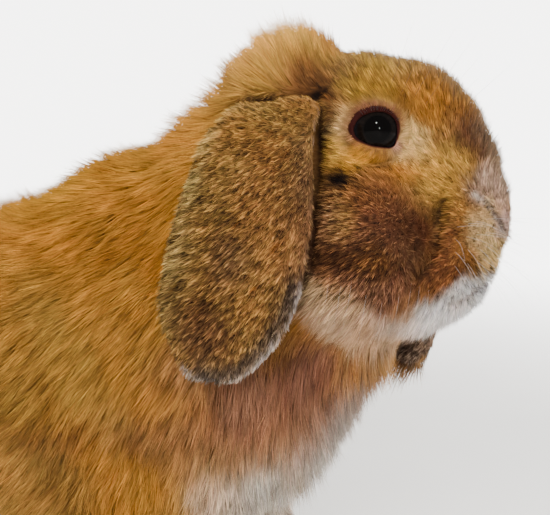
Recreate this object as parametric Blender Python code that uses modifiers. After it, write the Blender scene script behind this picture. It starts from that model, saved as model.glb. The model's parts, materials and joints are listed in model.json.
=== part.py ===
"""A lop rabbit sitting alert on a level floor, life-size, in metres, +Z up, facing +X.

The animal is shaped whole. Rounded masses stand for its bone and muscle groups under the coat,
fused by voxels and smoothed, and the whole form is then parted by thin cuts into head, neck,
trunk, tail and limbs. The ears are cupped shells hung beside the cheeks, and the eyes sit in
sockets cut for them. Sizes reach the tips of the coat.
"""

import math

import bmesh
import bpy
from mathutils import Matrix, Vector

MM = 0.001
SHARP_ANGLE = 48
LEFT, RIGHT = 1, -1
SIDE_NAMES = {LEFT: "left", RIGHT: "right"}

# Driving sizes, in millimetres. Heights are above the floor, and X runs from tail to nose.
GAP = 0.3
EYE_LEVEL = 190
HEAD_AT = (103, -6, EYE_LEVEL)
HEAD_YAW = -12
HEAD_ROLL = -4
EYE_AT = (-1, 23.5, 0)
EYE_RADIUS = 9.0
EYE_SEGMENTS, EYE_RINGS = 16, 10

# How finely each group of masses is fused, in millimetres, and how many rounds soften it.
BODY_VOXEL, BODY_SOFTENING = 4.0, 14
HEAD_VOXEL, HEAD_SOFTENING = 2.2, 10
WHOLE_VOXEL, WHOLE_SOFTENING = 2.2, 6
FLESH_TRIANGLES = 3250
EAR_TRIANGLES = 480
CUT_SEGMENTS, CUT_RINGS = 14, 8

# Each mass: name, centre, radii, pitch and yaw in degrees (nose-up and to the left are positive).
# A centre with Y over 0 stands for a pair, one on each side.
HEAD_MASSES = (
    ("cranium", (-27, 0, -3), (38, 36, 37), 0, 0),
    ("forehead", (-4, 0, -6), (34, 26, 32), 50, 0),
    ("brow", (-7, 14, -1), (22, 15, 18), 0, 12),
    ("nose bridge", (18, 0, -22), (20, 18, 32), 8, 0),
    ("cheek", (-12, 20, -40), (33, 21, 33), 0, 10),
    ("muzzle", (13, 0, -45), (23, 23, 23), 0, 0),
    ("lip pad", (19, 10, -45), (15, 13, 16), 0, 20),
    ("chin", (3, 0, -60), (17, 17, 13), 0, 0),
    ("jaw", (-16, 0, -60), (32, 28, 20), 15, 0),
)

TRUNK_MASSES = (
    ("crest", (60, -2, 200), (31, 36, 33), 0, 0),
    ("nape", (38, 0, 164), (44, 40, 44), 42, 0),
    ("withers", (-8, 0, 142), (58, 42, 48), 20, 0),
    ("neck", (64, 0, 146), (38, 42, 46), 0, 0),
    ("chest", (50, 0, 98), (39, 44, 48), 0, 0),
    ("throat", (76, 0, 122), (30, 36, 34), 0, 0),
    ("shoulder", (30, 24, 104), (38, 28, 56), 0, 0),
    ("ribcage", (4, 0, 110), (76, 54, 66), 22, 0),
    ("loin", (-54, 0, 92), (80, 60, 75), 20, 0),
    ("rump", (-88, 0, 76), (52, 57, 68), 0, 0),
    ("belly", (-16, 0, 60), (80, 48, 44), 0, 0),
    ("thigh", (-60, 42, 66), (54, 28, 54), 0, 0),
    ("knee", (-24, 43, 46), (30, 22, 32), 0, 0),
    ("upper foreleg", (32, 26, 66), (27, 21, 42), 0, 0),
)

LIMB_MASSES = (
    ("hock", (-86, 50, 20), (24, 14, 19), 0, 0),
    ("hind foot", (-40, 52, 10), (50, 14, 13), 0, 0),
    ("hind toes", (4, 52, 9), (18, 15, 11), 0, 0),
    ("forearm", (35, 25, 32), (16, 15, 32), 0, 0),
    ("forefoot", (47, 25, 9), (22, 13, 12), 0, 0),
    ("tail root", (-134, 0, 46), (18, 15, 20), 0, 0),
    ("tail", (-141, 0, 58), (15, 17, 25), 18, 0),
)

COAT = (0.36, 0.16, 0.05)
EAR_COAT = (0.16, 0.08, 0.035)
WHITE_COAT = (0.55, 0.47, 0.40)
EYE_BROWN = (0.012, 0.008, 0.006)


def material(name, colour, roughness):
    """A plain finish: a Principled BSDF with its colour and roughness set."""
    made = bpy.data.materials.new(name)
    made.use_nodes = True
    made.diffuse_color = (*colour, 1)
    shader = made.node_tree.nodes["Principled BSDF"]
    shader.inputs["Base Color"].default_value = (*colour, 1)
    shader.inputs["Roughness"].default_value = roughness
    shader.inputs["Metallic"].default_value = 0.0
    return made


def turn(pitch=0.0, yaw=0.0, roll=0.0):
    """A rotation in degrees: nose up, then roll, then to the left about the vertical."""
    return (
        Matrix.Rotation(math.radians(yaw), 4, "Z")
        @ Matrix.Rotation(math.radians(roll), 4, "X")
        @ Matrix.Rotation(math.radians(-pitch), 4, "Y")
    )


def place(at):
    """A shift to a point given in millimetres."""
    return Matrix.Translation(Vector(at) * MM)


HEAD_FRAME = place(HEAD_AT) @ turn(yaw=HEAD_YAW, roll=HEAD_ROLL)


def new_object(name, mesh, collection):
    made = bpy.data.objects.new(name, mesh)
    collection.objects.link(made)
    return made


def evaluated_mesh(obj):
    """The object's mesh with its modifiers applied, as a new mesh."""
    bpy.context.view_layer.update()
    graph = bpy.context.evaluated_depsgraph_get()
    return bpy.data.meshes.new_from_object(obj.evaluated_get(graph))


def take_out(obj):
    """Removes a finished helper and its mesh."""
    mesh = obj.data
    bpy.data.objects.remove(obj)
    bpy.data.meshes.remove(mesh)


def add_mass(shape, centre, radii, pitch, yaw, frame):
    """Adds one ellipsoid, or a mirrored pair, to the bmesh."""
    sides = (LEFT, RIGHT) if centre[1] > 0 else (LEFT,)
    for side in sides:
        at = (centre[0], centre[1] * side, centre[2])
        size = Matrix.Diagonal((*(r * MM for r in radii), 1))
        matrix = frame @ place(at) @ turn(pitch, yaw * side) @ size
        bmesh.ops.create_uvsphere(shape, u_segments=32, v_segments=20, radius=1, matrix=matrix)


def thin_out(obj, triangles):
    """Thins the object's mesh to about the number of triangles."""
    dense = sum(len(face.vertices) - 2 for face in obj.data.polygons)
    thin = obj.modifiers.new("thin out", "DECIMATE")
    thin.ratio = min(1.0, triangles / dense)
    old, mesh = obj.data, evaluated_mesh(obj)
    obj.modifiers.remove(thin)
    obj.data = mesh
    bpy.data.meshes.remove(old)


def fuse(shape, voxel, rounds, collection):
    """Makes the bmesh one closed skin by voxels, and softens it. Returns it as an object."""
    mesh = bpy.data.meshes.new("fused")
    shape.to_mesh(mesh)
    shape.free()
    fused = new_object("fused", mesh, collection)
    remesh = fused.modifiers.new("fuse", "REMESH")
    remesh.mode = "VOXEL"
    remesh.voxel_size = voxel * MM
    smooth = fused.modifiers.new("soften", "SMOOTH")
    smooth.factor = 0.6
    smooth.iterations = rounds
    result = evaluated_mesh(fused)
    take_out(fused)
    return new_object("fused", result, collection)


def whole_form(collection):
    """Trunk and head fused apart, joined with the limbs, then thinned to the final triangles."""
    joined = bmesh.new()
    for masses, frame, voxel, rounds in (
        (TRUNK_MASSES, Matrix.Identity(4), BODY_VOXEL, BODY_SOFTENING),
        (HEAD_MASSES, HEAD_FRAME, HEAD_VOXEL, HEAD_SOFTENING),
    ):
        shape = bmesh.new()
        for _, centre, radii, pitch, yaw in masses:
            add_mass(shape, centre, radii, pitch, yaw, frame)
        group = fuse(shape, voxel, rounds, collection)
        joined.from_mesh(group.data)
        take_out(group)
    for _, centre, radii, pitch, yaw in LIMB_MASSES:
        add_mass(joined, centre, radii, pitch, yaw, Matrix.Identity(4))
    whole = fuse(joined, WHOLE_VOXEL, WHOLE_SOFTENING, collection)
    thin_out(whole, FLESH_TRIANGLES)
    return whole


def flatten_soles(whole):
    """Cuts off what lies below the floor, which leaves level soles."""
    shape = bmesh.new()
    shape.from_mesh(whole.data)
    everything = shape.verts[:] + shape.edges[:] + shape.faces[:]
    bmesh.ops.bisect_plane(shape, geom=everything, plane_co=(0, 0, 0), plane_no=(0, 0, -1), clear_outer=True)
    rims = [edge for edge in shape.edges if edge.is_boundary]
    bmesh.ops.holes_fill(shape, edges=rims, sides=0)
    bmesh.ops.triangulate(shape, faces=shape.faces[:])
    shape.to_mesh(whole.data)
    shape.free()


def box_region(low, high, frame=Matrix.Identity(4)):
    """A block between two corners, as a function of how far its faces are moved out."""

    def build(grow):
        size = [(b - a + 2 * grow) * MM for a, b in zip(low, high)]
        middle = [(a + b) / 2 for a, b in zip(low, high)]
        shape = bmesh.new()
        bmesh.ops.create_cube(shape, size=1, matrix=frame @ place(middle) @ Matrix.Diagonal((*size, 1)))
        return shape

    return build


def round_region(centre, radii, pitch=0.0, yaw=0.0, frame=Matrix.Identity(4)):
    """An ellipsoid, as a function of how far its surface is moved out."""

    def build(grow):
        size = Matrix.Diagonal((*((r + grow) * MM for r in radii), 1))
        shape = bmesh.new()
        matrix = frame @ place(centre) @ turn(pitch, yaw) @ size
        bmesh.ops.create_uvsphere(shape, u_segments=CUT_SEGMENTS, v_segments=CUT_RINGS, radius=1, matrix=matrix)
        return shape

    return build


def boolean(obj, operation, shape, cutters):
    """Cuts, keeps or adds the bmesh shape, and leaves the result in the object."""
    mesh = bpy.data.meshes.new("cutter")
    shape.to_mesh(mesh)
    shape.free()
    cutter = new_object("cutter", mesh, cutters)
    cutter.hide_render = True
    cutter.display_type = "WIRE"
    step = obj.modifiers.new(operation.lower(), "BOOLEAN")
    step.operation = operation
    step.object = cutter
    result = evaluated_mesh(obj)
    obj.modifiers.remove(step)
    old = obj.data
    obj.data = result
    bpy.data.meshes.remove(old)
    take_out(cutter)


def part_off(rest, name, region, collection, cutters):
    """Parts the piece inside the region from the rest, with a thin gap between them."""
    piece = new_object(name, rest.data.copy(), collection)
    boolean(piece, "INTERSECT", region(0), cutters)
    boolean(rest, "DIFFERENCE", region(GAP), cutters)
    return piece


# Ears: a cupped flap that leaves the side of the crown, folds over and hangs, its hind edge flared.
EAR_ROOT = (-33, 29, 6)
EAR_LENGTH = 108
EAR_WIDTH = 50
EAR_ROOT_WIDTH = 30
EAR_THICKNESS = 6.0
EAR_CUP = 6
EAR_FLARE = 14
EAR_FOLD = {RIGHT: 32, LEFT: 26}
EAR_START = 14
EAR_HANG = {RIGHT: -91, LEFT: -91}
EAR_SLOPE_BACK = {RIGHT: 11, LEFT: -7}
EAR_ROUND_TIP = 0.30
EAR_STEPS, EAR_STRIPS = 14, 6


def eased(share):
    """Goes smoothly from 0 to 1 as the share does, and stays there."""
    share = min(max(share, 0.0), 1.0)
    return share * share * (3 - 2 * share)


def ear_line(side, steps):
    """The ear's middle line as (out, up) offsets: it heads out and up, folds over and hangs."""
    out, up, line = 0.0, 0.0, []
    stride = EAR_LENGTH / steps
    for step in range(steps + 1):
        line.append((out, up))
        turned = eased((step + 0.5) * stride / EAR_FOLD[side])
        heading = math.radians(EAR_START + (EAR_HANG[side] - EAR_START) * turned)
        out += stride * math.cos(heading)
        up += stride * math.sin(heading)
    return line


def ear_half_width(share):
    """Half the ear's width: a narrow root, nearly even sides and a round tip."""
    half = (EAR_ROOT_WIDTH + (EAR_WIDTH - EAR_ROOT_WIDTH) * eased(share / 0.62)) / 2
    tip = max(0.0, (share - 1 + EAR_ROUND_TIP) / EAR_ROUND_TIP)
    return half * math.sqrt(max(1 - tip * tip, 0.05))


def make_ear(side, whole, collection, cutters):
    """One ear, from a coarse open flap that gets its thickness, then rounded by subdivision."""
    flare = math.radians(EAR_FLARE)
    outward = Vector((math.sin(flare), side * math.cos(flare), 0))
    backward = Vector((-math.cos(flare), side * math.sin(flare), 0))
    drift = math.tan(math.radians(EAR_SLOPE_BACK[side]))
    root = Vector((EAR_ROOT[0], side * EAR_ROOT[1], EAR_ROOT[2]))
    shape = bmesh.new()
    rows = []
    for step, (out, up) in enumerate(ear_line(side, EAR_STEPS)):
        half = ear_half_width(step / EAR_STEPS)
        middle = root + outward * out + Vector((min(up, 0) * drift, 0, up))
        row = []
        for strip in range(EAR_STRIPS + 1):
            across = 2 * strip / EAR_STRIPS - 1
            bulge = EAR_CUP * (1 - across * across) * eased(2 * step / EAR_STEPS)
            point = middle + backward * (across * half) + outward * bulge
            row.append(shape.verts.new(HEAD_FRAME @ (point * MM)))
        rows.append(row)
    for upper, lower in zip(rows, rows[1:]):
        for strip in range(EAR_STRIPS):
            corners = (upper[strip], upper[strip + 1], lower[strip + 1], lower[strip])
            shape.faces.new(corners if side == LEFT else corners[::-1])
    mesh = bpy.data.meshes.new("ear")
    shape.to_mesh(mesh)
    shape.free()
    ear = new_object("ear_" + SIDE_NAMES[side], mesh, collection)
    thick = ear.modifiers.new("thickness", "SOLIDIFY")
    thick.thickness = EAR_THICKNESS * MM
    thick.offset = 0
    rounded = ear.modifiers.new("round", "SUBSURF")
    rounded.levels = rounded.render_levels = 1
    solid = evaluated_mesh(ear)
    ear.modifiers.clear()
    ear.data = solid
    bpy.data.meshes.remove(mesh)
    thin_out(ear, EAR_TRIANGLES)
    boolean(ear, "DIFFERENCE", grown_copy(whole), cutters)
    keep_largest(ear)
    return ear


def grown_copy(obj):
    """The object's shape moved out by the gap, as a bmesh to cut with."""
    puffed = obj.modifiers.new("clearance", "DISPLACE")
    puffed.mid_level = 0
    puffed.strength = GAP * MM
    mesh = evaluated_mesh(obj)
    obj.modifiers.remove(puffed)
    shape = bmesh.new()
    shape.from_mesh(mesh)
    bpy.data.meshes.remove(mesh)
    return shape


def keep_largest(obj):
    """Deletes the small scraps that a cut leaves beside the piece."""
    shape = bmesh.new()
    shape.from_mesh(obj.data)
    islands, seen = [], set()
    for start in shape.verts:
        if start in seen:
            continue
        island, queue = [], [start]
        seen.add(start)
        while queue:
            vert = queue.pop()
            island.append(vert)
            for edge in vert.link_edges:
                other = edge.other_vert(vert)
                if other not in seen:
                    seen.add(other)
                    queue.append(other)
        islands.append(island)
    islands.sort(key=len, reverse=True)
    for scrap in islands[1:]:
        bmesh.ops.delete(shape, geom=scrap, context="VERTS")
    shape.to_mesh(obj.data)
    shape.free()


def eye_shape(side, grow=0.0):
    """An eyeball, or the socket that clears it by the growth."""
    at = (EYE_AT[0], EYE_AT[1] * side, EYE_AT[2])
    shape = bmesh.new()
    bmesh.ops.create_uvsphere(
        shape,
        u_segments=EYE_SEGMENTS,
        v_segments=EYE_RINGS,
        radius=(EYE_RADIUS + grow) * MM,
        matrix=HEAD_FRAME @ place(at) @ Matrix.Rotation(math.radians(90), 4, "X"),
    )
    return shape


# Where the whole form is parted, in the order of the cuts. The skull's cut runs from behind the
# crest down to the throat, square to a line that rises with the muzzle.
SKULL_FRAME = HEAD_FRAME @ place((-66, 0, 40)) @ turn(pitch=20)
SKULL = box_region((0, -90, -133), (140, 90, 40), SKULL_FRAME)
COLLAR = round_region((76, 0, 184), (86, 76, 84))
TAIL = round_region((-150, 0, 56), (24, 24, 40))
SIDE_REGIONS = (
    ("hind_foot", lambda side: box_region(*mirrored((-116, 33, -9), (34, 84, 20), side))),
    ("forefoot", lambda side: box_region(*mirrored((18, 6, -9), (84, 50, 19), side))),
    ("foreleg", lambda side: round_region((35, 27 * side, 42), (28, 23, 44))),
    ("thigh", lambda side: round_region((-52, 50 * side, 56), (60, 32, 54))),
)

# Claws: where each leaves its foot on the left side, and its length and root radius.
HIND_CLAWS = ((16, 43, 7), (19, 49, 7.5), (19, 55, 7.5), (16, 61, 7))
FORE_CLAWS = ((61, 17, 6.5), (64, 22, 7), (64, 28, 7), (61, 33, 6.5))
CLAW_LENGTH, CLAW_RADIUS, CLAW_DIP = 7, 1.8, 24


def mirrored(low, high, side):
    """The block's two corners, swapped to the right side if need be."""
    if side == LEFT:
        return low, high
    return (low[0], -high[1], low[2]), (high[0], -low[1], high[2])


def claw_shape(at, side):
    """One blunt, slightly dipped claw with its root inside the toe."""
    shape = bmesh.new()
    point = (at[0] + CLAW_LENGTH / 2, at[1] * side, at[2])
    matrix = place(point) @ turn(pitch=-CLAW_DIP) @ Matrix.Rotation(math.radians(90), 4, "Y")
    bmesh.ops.create_cone(
        shape,
        cap_ends=True,
        segments=6,
        radius1=CLAW_RADIUS * MM,
        radius2=CLAW_RADIUS * 0.3 * MM,
        depth=(CLAW_LENGTH + 4) * MM,
        matrix=matrix,
    )
    return shape


def finish(collection):
    """Names, shades and colours each piece, and stands the rabbit over the origin."""
    coat = material("tan_coat", COAT, 0.85)
    ear_coat = material("brown_ear_coat", EAR_COAT, 0.85)
    white = material("white_coat", WHITE_COAT, 0.85)
    eye = material("dark_eye", EYE_BROWN, 0.08)
    by_kind = {"ear": ear_coat, "eye": eye, "tail": white, "forefoot": white}
    low = Vector((math.inf,) * 3)
    high = -low
    for obj in collection.objects:
        for vert in obj.data.vertices:
            low = Vector(map(min, low, vert.co))
            high = Vector(map(max, high, vert.co))
    shift = -Vector(((low.x + high.x) / 2, (low.y + high.y) / 2, low.z))
    for obj in collection.objects:
        obj.data.transform(Matrix.Translation(shift))
        obj.data.name = obj.name
        obj.data.shade_smooth()
        obj.data.set_sharp_from_angle(angle=math.radians(SHARP_ANGLE))
        kind = obj.name.rsplit("_", 1)[0]
        obj.data.materials.clear()
        obj.data.materials.append(by_kind.get(kind, coat))
        for face in obj.data.polygons:
            face.material_index = 0


def main():
    for old in list(bpy.data.objects):
        bpy.data.objects.remove(old)
    rabbit = bpy.data.collections.new("lop_rabbit")
    cutters = bpy.data.collections.new("cutters")
    bpy.context.scene.collection.children.link(rabbit)
    bpy.context.scene.collection.children.link(cutters)

    trunk = whole_form(rabbit)
    flatten_soles(trunk)
    for side in (LEFT, RIGHT):
        make_ear(side, trunk, rabbit, cutters)

    head = part_off(trunk, "head", SKULL, rabbit, cutters)
    for side in (LEFT, RIGHT):
        eye = new_object("eye_" + SIDE_NAMES[side], bpy.data.meshes.new("eye"), rabbit)
        ball = eye_shape(side)
        ball.to_mesh(eye.data)
        ball.free()
        boolean(head, "DIFFERENCE", eye_shape(side, GAP), cutters)
    keep_largest(head)

    part_off(trunk, "neck", COLLAR, rabbit, cutters)
    part_off(trunk, "tail", TAIL, rabbit, cutters)
    for side in (LEFT, RIGHT):
        for name, region in SIDE_REGIONS:
            piece = part_off(trunk, f"{name}_{SIDE_NAMES[side]}", region(side), rabbit, cutters)
            claws = {"hind_foot": HIND_CLAWS, "forefoot": FORE_CLAWS}.get(name, ())
            for at in claws:
                boolean(piece, "UNION", claw_shape(at, side), cutters)
            keep_largest(piece)
    trunk.name = "trunk"
    keep_largest(trunk)
    finish(rabbit)


main()
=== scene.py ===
"""A lop rabbit, still and life-size: one skin, glass-bright eyes, claws, whiskers and a full coat."""

import json
import math

import bmesh
import bpy
import numpy as np
from mathutils import Matrix, Vector
from mathutils.bvhtree import BVHTree
from mathutils.kdtree import KDTree

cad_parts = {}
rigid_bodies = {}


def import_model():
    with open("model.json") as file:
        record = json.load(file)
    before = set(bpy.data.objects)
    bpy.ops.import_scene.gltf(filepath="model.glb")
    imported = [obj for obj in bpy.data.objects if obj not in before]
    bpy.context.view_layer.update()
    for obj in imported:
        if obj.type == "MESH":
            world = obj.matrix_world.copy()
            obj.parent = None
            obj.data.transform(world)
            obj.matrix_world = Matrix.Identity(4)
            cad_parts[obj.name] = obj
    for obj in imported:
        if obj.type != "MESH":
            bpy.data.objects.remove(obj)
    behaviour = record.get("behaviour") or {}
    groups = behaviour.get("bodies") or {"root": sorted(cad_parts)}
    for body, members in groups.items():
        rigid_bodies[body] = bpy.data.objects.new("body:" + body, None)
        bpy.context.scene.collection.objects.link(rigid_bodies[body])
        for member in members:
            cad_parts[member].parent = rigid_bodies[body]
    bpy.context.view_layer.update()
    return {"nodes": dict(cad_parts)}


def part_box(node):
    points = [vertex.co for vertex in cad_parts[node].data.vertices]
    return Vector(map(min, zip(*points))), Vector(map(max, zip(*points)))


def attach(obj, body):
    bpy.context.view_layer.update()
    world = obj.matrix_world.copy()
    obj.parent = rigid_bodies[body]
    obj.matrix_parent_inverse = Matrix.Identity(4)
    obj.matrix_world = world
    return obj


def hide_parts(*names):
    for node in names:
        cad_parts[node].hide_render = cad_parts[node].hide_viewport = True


for old in list(bpy.data.objects):
    bpy.data.objects.remove(old)
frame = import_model()

# --- Camera -----------------------------------------------------------------------------------
# It stands low at the animal's right, a little ahead of square, and looks slightly down. The near
# eye sets it: by how far off that is, and where it falls in the frame.
MM = 0.001
CAMERA_AZIMUTH, CAMERA_PITCH = math.radians(20), math.radians(7.5)
CAMERA_LENS, CAMERA_SENSOR = 45.82, 36.0
EYE_DISTANCE = 0.231
EYE_RIGHT_OF_CENTRE, EYE_ABOVE_CENTRE = 0.1429, 0.1821


def middle(node):
    """The middle of a CAD node's box."""
    low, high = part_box(node)
    return (low + high) / 2


eye_centre = {"right": middle("eye_right"), "left": middle("eye_left")}
look = Vector((-math.sin(CAMERA_AZIMUTH) * math.cos(CAMERA_PITCH),
               math.cos(CAMERA_AZIMUTH) * math.cos(CAMERA_PITCH), -math.sin(CAMERA_PITCH)))
view_right = Vector((math.cos(CAMERA_AZIMUTH), math.sin(CAMERA_AZIMUTH), 0))
view_up = view_right.cross(look)
camera = bpy.data.objects.new("camera", bpy.data.cameras.new("camera"))
camera.data.lens = CAMERA_LENS
camera.data.sensor_width = CAMERA_SENSOR
camera.data.clip_start = 0.01
to_eye = look + view_right * EYE_RIGHT_OF_CENTRE + view_up * EYE_ABOVE_CENTRE
camera.location = eye_centre["right"] - to_eye * EYE_DISTANCE
camera.rotation_euler = Matrix((view_right, view_up, -look)).transposed().to_euler()
bpy.context.scene.collection.objects.link(camera)
bpy.context.scene.camera = camera

# --- Skin -------------------------------------------------------------------------------------
# One closed hide over the whole animal, ears included, that lies inside the coat's outline. The
# CAD solids are swollen shut over their cuts, worn down by the coat's depth, fused and smoothed.
# Lids, nose, mouth and cheek folds are then worked into the finer mesh of the face.
EAR_NODES = ("ear_left", "ear_right")
EYE_NODES = ("eye_left", "eye_right")
FLESH_NODES = [name for name in frame["nodes"] if name not in EAR_NODES + EYE_NODES]
SWELL = 0.35 * MM
BODY_VOXEL, EAR_VOXEL, SKIN_VOXEL = 1.6 * MM, 0.9 * MM, 1.7 * MM
FACE_DEPTH, EAR_DEPTH = 3.0 * MM, 0.9 * MM

# The head's own axes, from the line between its eyes: forward, to its left and up.
head_left = (eye_centre["left"] - eye_centre["right"]).normalized()
head_forward = head_left.cross(Vector((0, 0, 1))).normalized()
head_up = head_forward.cross(head_left)
head_middle = (eye_centre["left"] + eye_centre["right"]) / 2
HEAD_AXES = np.array((head_forward, head_left, head_up))
HEAD_MIDDLE = np.array(head_middle)


def to_head(points):
    """World points in metres as head coordinates in millimetres: forward, left, up."""
    return (points - HEAD_MIDDLE) @ HEAD_AXES.T / MM


def from_head(points):
    """Head coordinates in millimetres as world points in metres."""
    return np.asarray(points, float) * MM @ HEAD_AXES + HEAD_MIDDLE


def link(name, mesh):
    """An object of the mesh, put in the scene."""
    made = bpy.data.objects.new(name, mesh)
    bpy.context.scene.collection.objects.link(made)
    return made


def applied(obj):
    """The object's mesh with its modifiers applied; the object itself is removed."""
    bpy.context.view_layer.update()
    graph = bpy.context.evaluated_depsgraph_get()
    mesh = bpy.data.meshes.new_from_object(obj.evaluated_get(graph))
    bpy.data.objects.remove(obj)
    return mesh


def softened(mesh, times):
    """The mesh smoothed a number of times."""
    worker = link("softened", mesh)
    soften = worker.modifiers.new("soften", "SMOOTH")
    soften.factor = 0.5
    soften.iterations = times
    return applied(worker)


def mesh_of(shape, name):
    """A mesh of the edited shape, which is freed."""
    mesh = bpy.data.meshes.new(name)
    shape.to_mesh(mesh)
    shape.free()
    return mesh


def coordinates(mesh):
    """The mesh's points as rows, in metres."""
    points = np.empty(len(mesh.vertices) * 3, np.float32)
    mesh.vertices.foreach_get("co", points)
    return points.reshape(-1, 3).astype(float)


def set_coordinates(mesh, points):
    """Moves the mesh's points to the rows' places."""
    mesh.vertices.foreach_set("co", points.astype(np.float32).ravel())
    mesh.update()


def normals_of(mesh):
    """The mesh's outward direction at each of its points."""
    normals = np.empty(len(mesh.vertices) * 3, np.float32)
    mesh.vertex_normals.foreach_get("vector", normals)
    return normals.reshape(-1, 3).astype(float)


def merged_copy(names, swell):
    """One mesh of the named CAD nodes, each welded and grown by the swell."""
    merged = bmesh.new()
    for name in names:
        piece = bmesh.new()
        piece.from_mesh(frame["nodes"][name].data)
        bmesh.ops.remove_doubles(piece, verts=piece.verts[:], dist=1e-6)
        piece.normal_update()
        for vert in piece.verts:
            vert.co += vert.normal * swell
        mesh = mesh_of(piece, name)
        merged.from_mesh(mesh)
        bpy.data.meshes.remove(mesh)
    return mesh_of(merged, "merged")


def node_group(name, kind, sockets):
    """An empty node group with named sockets, each a name, its way and its kind of value."""
    group = bpy.data.node_groups.new(name, kind)
    for label, way, value in sockets:
        group.interface.new_socket(label, in_out=way, socket_type="NodeSocket" + value)
    return group


def add_node(tree, kind, inputs=(), **settings):
    """A new node in the tree, with its settings made first and then its inputs' values."""
    node = tree.nodes.new(kind)
    for label, value in settings.items():
        setattr(node, label, value)
    for label, value in dict(inputs).items():
        node.inputs[label].default_value = value
    return node


def connect(tree, *links):
    """Joins outputs to inputs, each link a node, its output, the next node and that one's input."""
    for source, output, target, entry in links:
        tree.links.new(source.outputs[output], target.inputs[entry])


def worn_down(mesh, depth, voxel):
    """The closed mesh's shape with its surface moved in by the depth, by way of a volume."""
    group = node_group("wear down", "GeometryNodeTree",
                       (("Geometry", "INPUT", "Geometry"), ("Geometry", "OUTPUT", "Geometry")))
    start, end = add_node(group, "NodeGroupInput"), add_node(group, "NodeGroupOutput")
    fill = add_node(group, "GeometryNodeMeshToVolume",
                    {"Voxel Size": voxel, "Interior Band Width": depth * 2, "Density": 1.0},
                    resolution_mode="VOXEL_SIZE")
    surface = add_node(group, "GeometryNodeVolumeToMesh", {"Threshold": 0.5}, resolution_mode="GRID")
    connect(group, (start, 0, fill, "Mesh"), (fill, "Volume", surface, "Volume"), (surface, "Mesh", end, 0))
    worker = link("worn", mesh)
    worker.modifiers.new("wear", "NODES").node_group = group
    return applied(worker)


def fused(mesh, voxel):
    """One closed surface round everything in the mesh, with nothing left inside."""
    worker = link("fused", mesh)
    fuse = worker.modifiers.new("fuse", "REMESH")
    fuse.mode = "VOXEL"
    fuse.voxel_size = voxel
    whole = bmesh.new()
    whole.from_mesh(applied(worker))
    left = set(whole.verts)
    islands = []
    while left:
        island = set()
        edge = [left.pop()]
        while edge:
            vert = edge.pop()
            island.add(vert)
            for other in (e.other_vert(vert) for e in vert.link_edges):
                if other in left:
                    left.discard(other)
                    edge.append(other)
        islands.append(island)
    largest = max(islands, key=len)
    loose = [vert for island in islands if island is not largest for vert in island]
    bmesh.ops.delete(whole, geom=loose, context="VERTS")
    return mesh_of(whole, "fused")


def tree_of(mesh):
    """A search tree over a mesh's faces."""
    return BVHTree.FromPolygons([v.co for v in mesh.vertices], [tuple(p.vertices) for p in mesh.polygons])


def smooth(low, high, value):
    """Goes smoothly from 0 to 1 as the value goes from low to high."""
    share = np.clip((value - low) / (high - low), 0.0, 1.0)
    return share * share * (3 - 2 * share)


def distance_to_path(points, path):
    """Each point's distance to a line through the path's corners, and how far along it that is."""
    best = np.full(len(points), np.inf)
    along = np.zeros(len(points))
    for step, (a, b) in enumerate(zip(path, path[1:])):
        a, b = np.asarray(a, float), np.asarray(b, float)
        share = np.clip((points - a) @ (b - a) / ((b - a) @ (b - a)), 0, 1)
        gap = np.linalg.norm(points - (a + share[:, None] * (b - a)), axis=1)
        nearer = gap < best
        best[nearer] = gap[nearer]
        along[nearer] = ((step + share) / (len(path) - 1))[nearer]
    return best, along


# The ears' roots are drawn into the head, so that the fused hide runs on from one to the other.
ROOT_GAP, ROOT_LOWEST, ROOT_DRAW = 1.2 * MM, -5, 8 * MM
flesh_mesh = fused(merged_copy(FLESH_NODES + list(EYE_NODES), SWELL), BODY_VOXEL)
flesh_tree = tree_of(flesh_mesh)
ear_mesh = merged_copy(EAR_NODES, 0)
ear_points = coordinates(ear_mesh)
for index, point in enumerate(ear_points):
    _, normal, _, gap = flesh_tree.find_nearest(Vector(point))
    if gap < ROOT_GAP and to_head(point)[2] > ROOT_LOWEST:
        ear_points[index] = point - np.array(normal) * ROOT_DRAW
set_coordinates(ear_mesh, ear_points)
ear_tree = tree_of(ear_mesh)
hide = bmesh.new()
hide.from_mesh(worn_down(flesh_mesh, FACE_DEPTH + SWELL, BODY_VOXEL))
hide.from_mesh(worn_down(ear_mesh, EAR_DEPTH, EAR_VOXEL))
skin_mesh = softened(fused(mesh_of(hide, "hide"), SKIN_VOXEL), 5)


def ear_share(points):
    """1 on the ears, 0 elsewhere."""
    reach = np.array([ear_tree.find_nearest(Vector(p))[3] for p in points]) / MM
    return 1 - smooth(2.2, 4.0, reach)


def long_fur(points):
    """How far a place wears the long coat, from 0 on the face and feet to 1 on the trunk."""
    head = to_head(points)
    z = points[:, 2] / MM
    behind = 1 - smooth(-42, -20, head[:, 0] - 0.35 * np.minimum(head[:, 2], 0))
    crown = smooth(12, 26, head[:, 2]) * (1 - smooth(-24, -8, head[:, 0]))
    under_chin = smooth(64, 80, -head[:, 2])
    above_feet = smooth(16, 46, z)
    return np.clip(np.maximum.reduce([behind, crown, under_chin]), 0, 1) * above_feet


# Under the long fur the skin lies deeper still: the trunk's, the neck's and the crest's.
TRUNK_EXTRA_DEPTH = 2.8
points = coordinates(skin_mesh)
extra = TRUNK_EXTRA_DEPTH * long_fur(points) * (1 - ear_share(points))
set_coordinates(skin_mesh, points - normals_of(skin_mesh) * extra[:, None] * MM)
skin_mesh = softened(skin_mesh, 4)

# The left ear hangs a little lower than the right.
EAR_DROP = 5.0
points = coordinates(skin_mesh)
head = to_head(points)
hanging = ear_share(points) * (head[:, 1] > 0) * (1 - smooth(-84, -58, head[:, 2]))
points[:, 2] -= EAR_DROP * hanging * MM
set_coordinates(skin_mesh, points)

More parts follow.
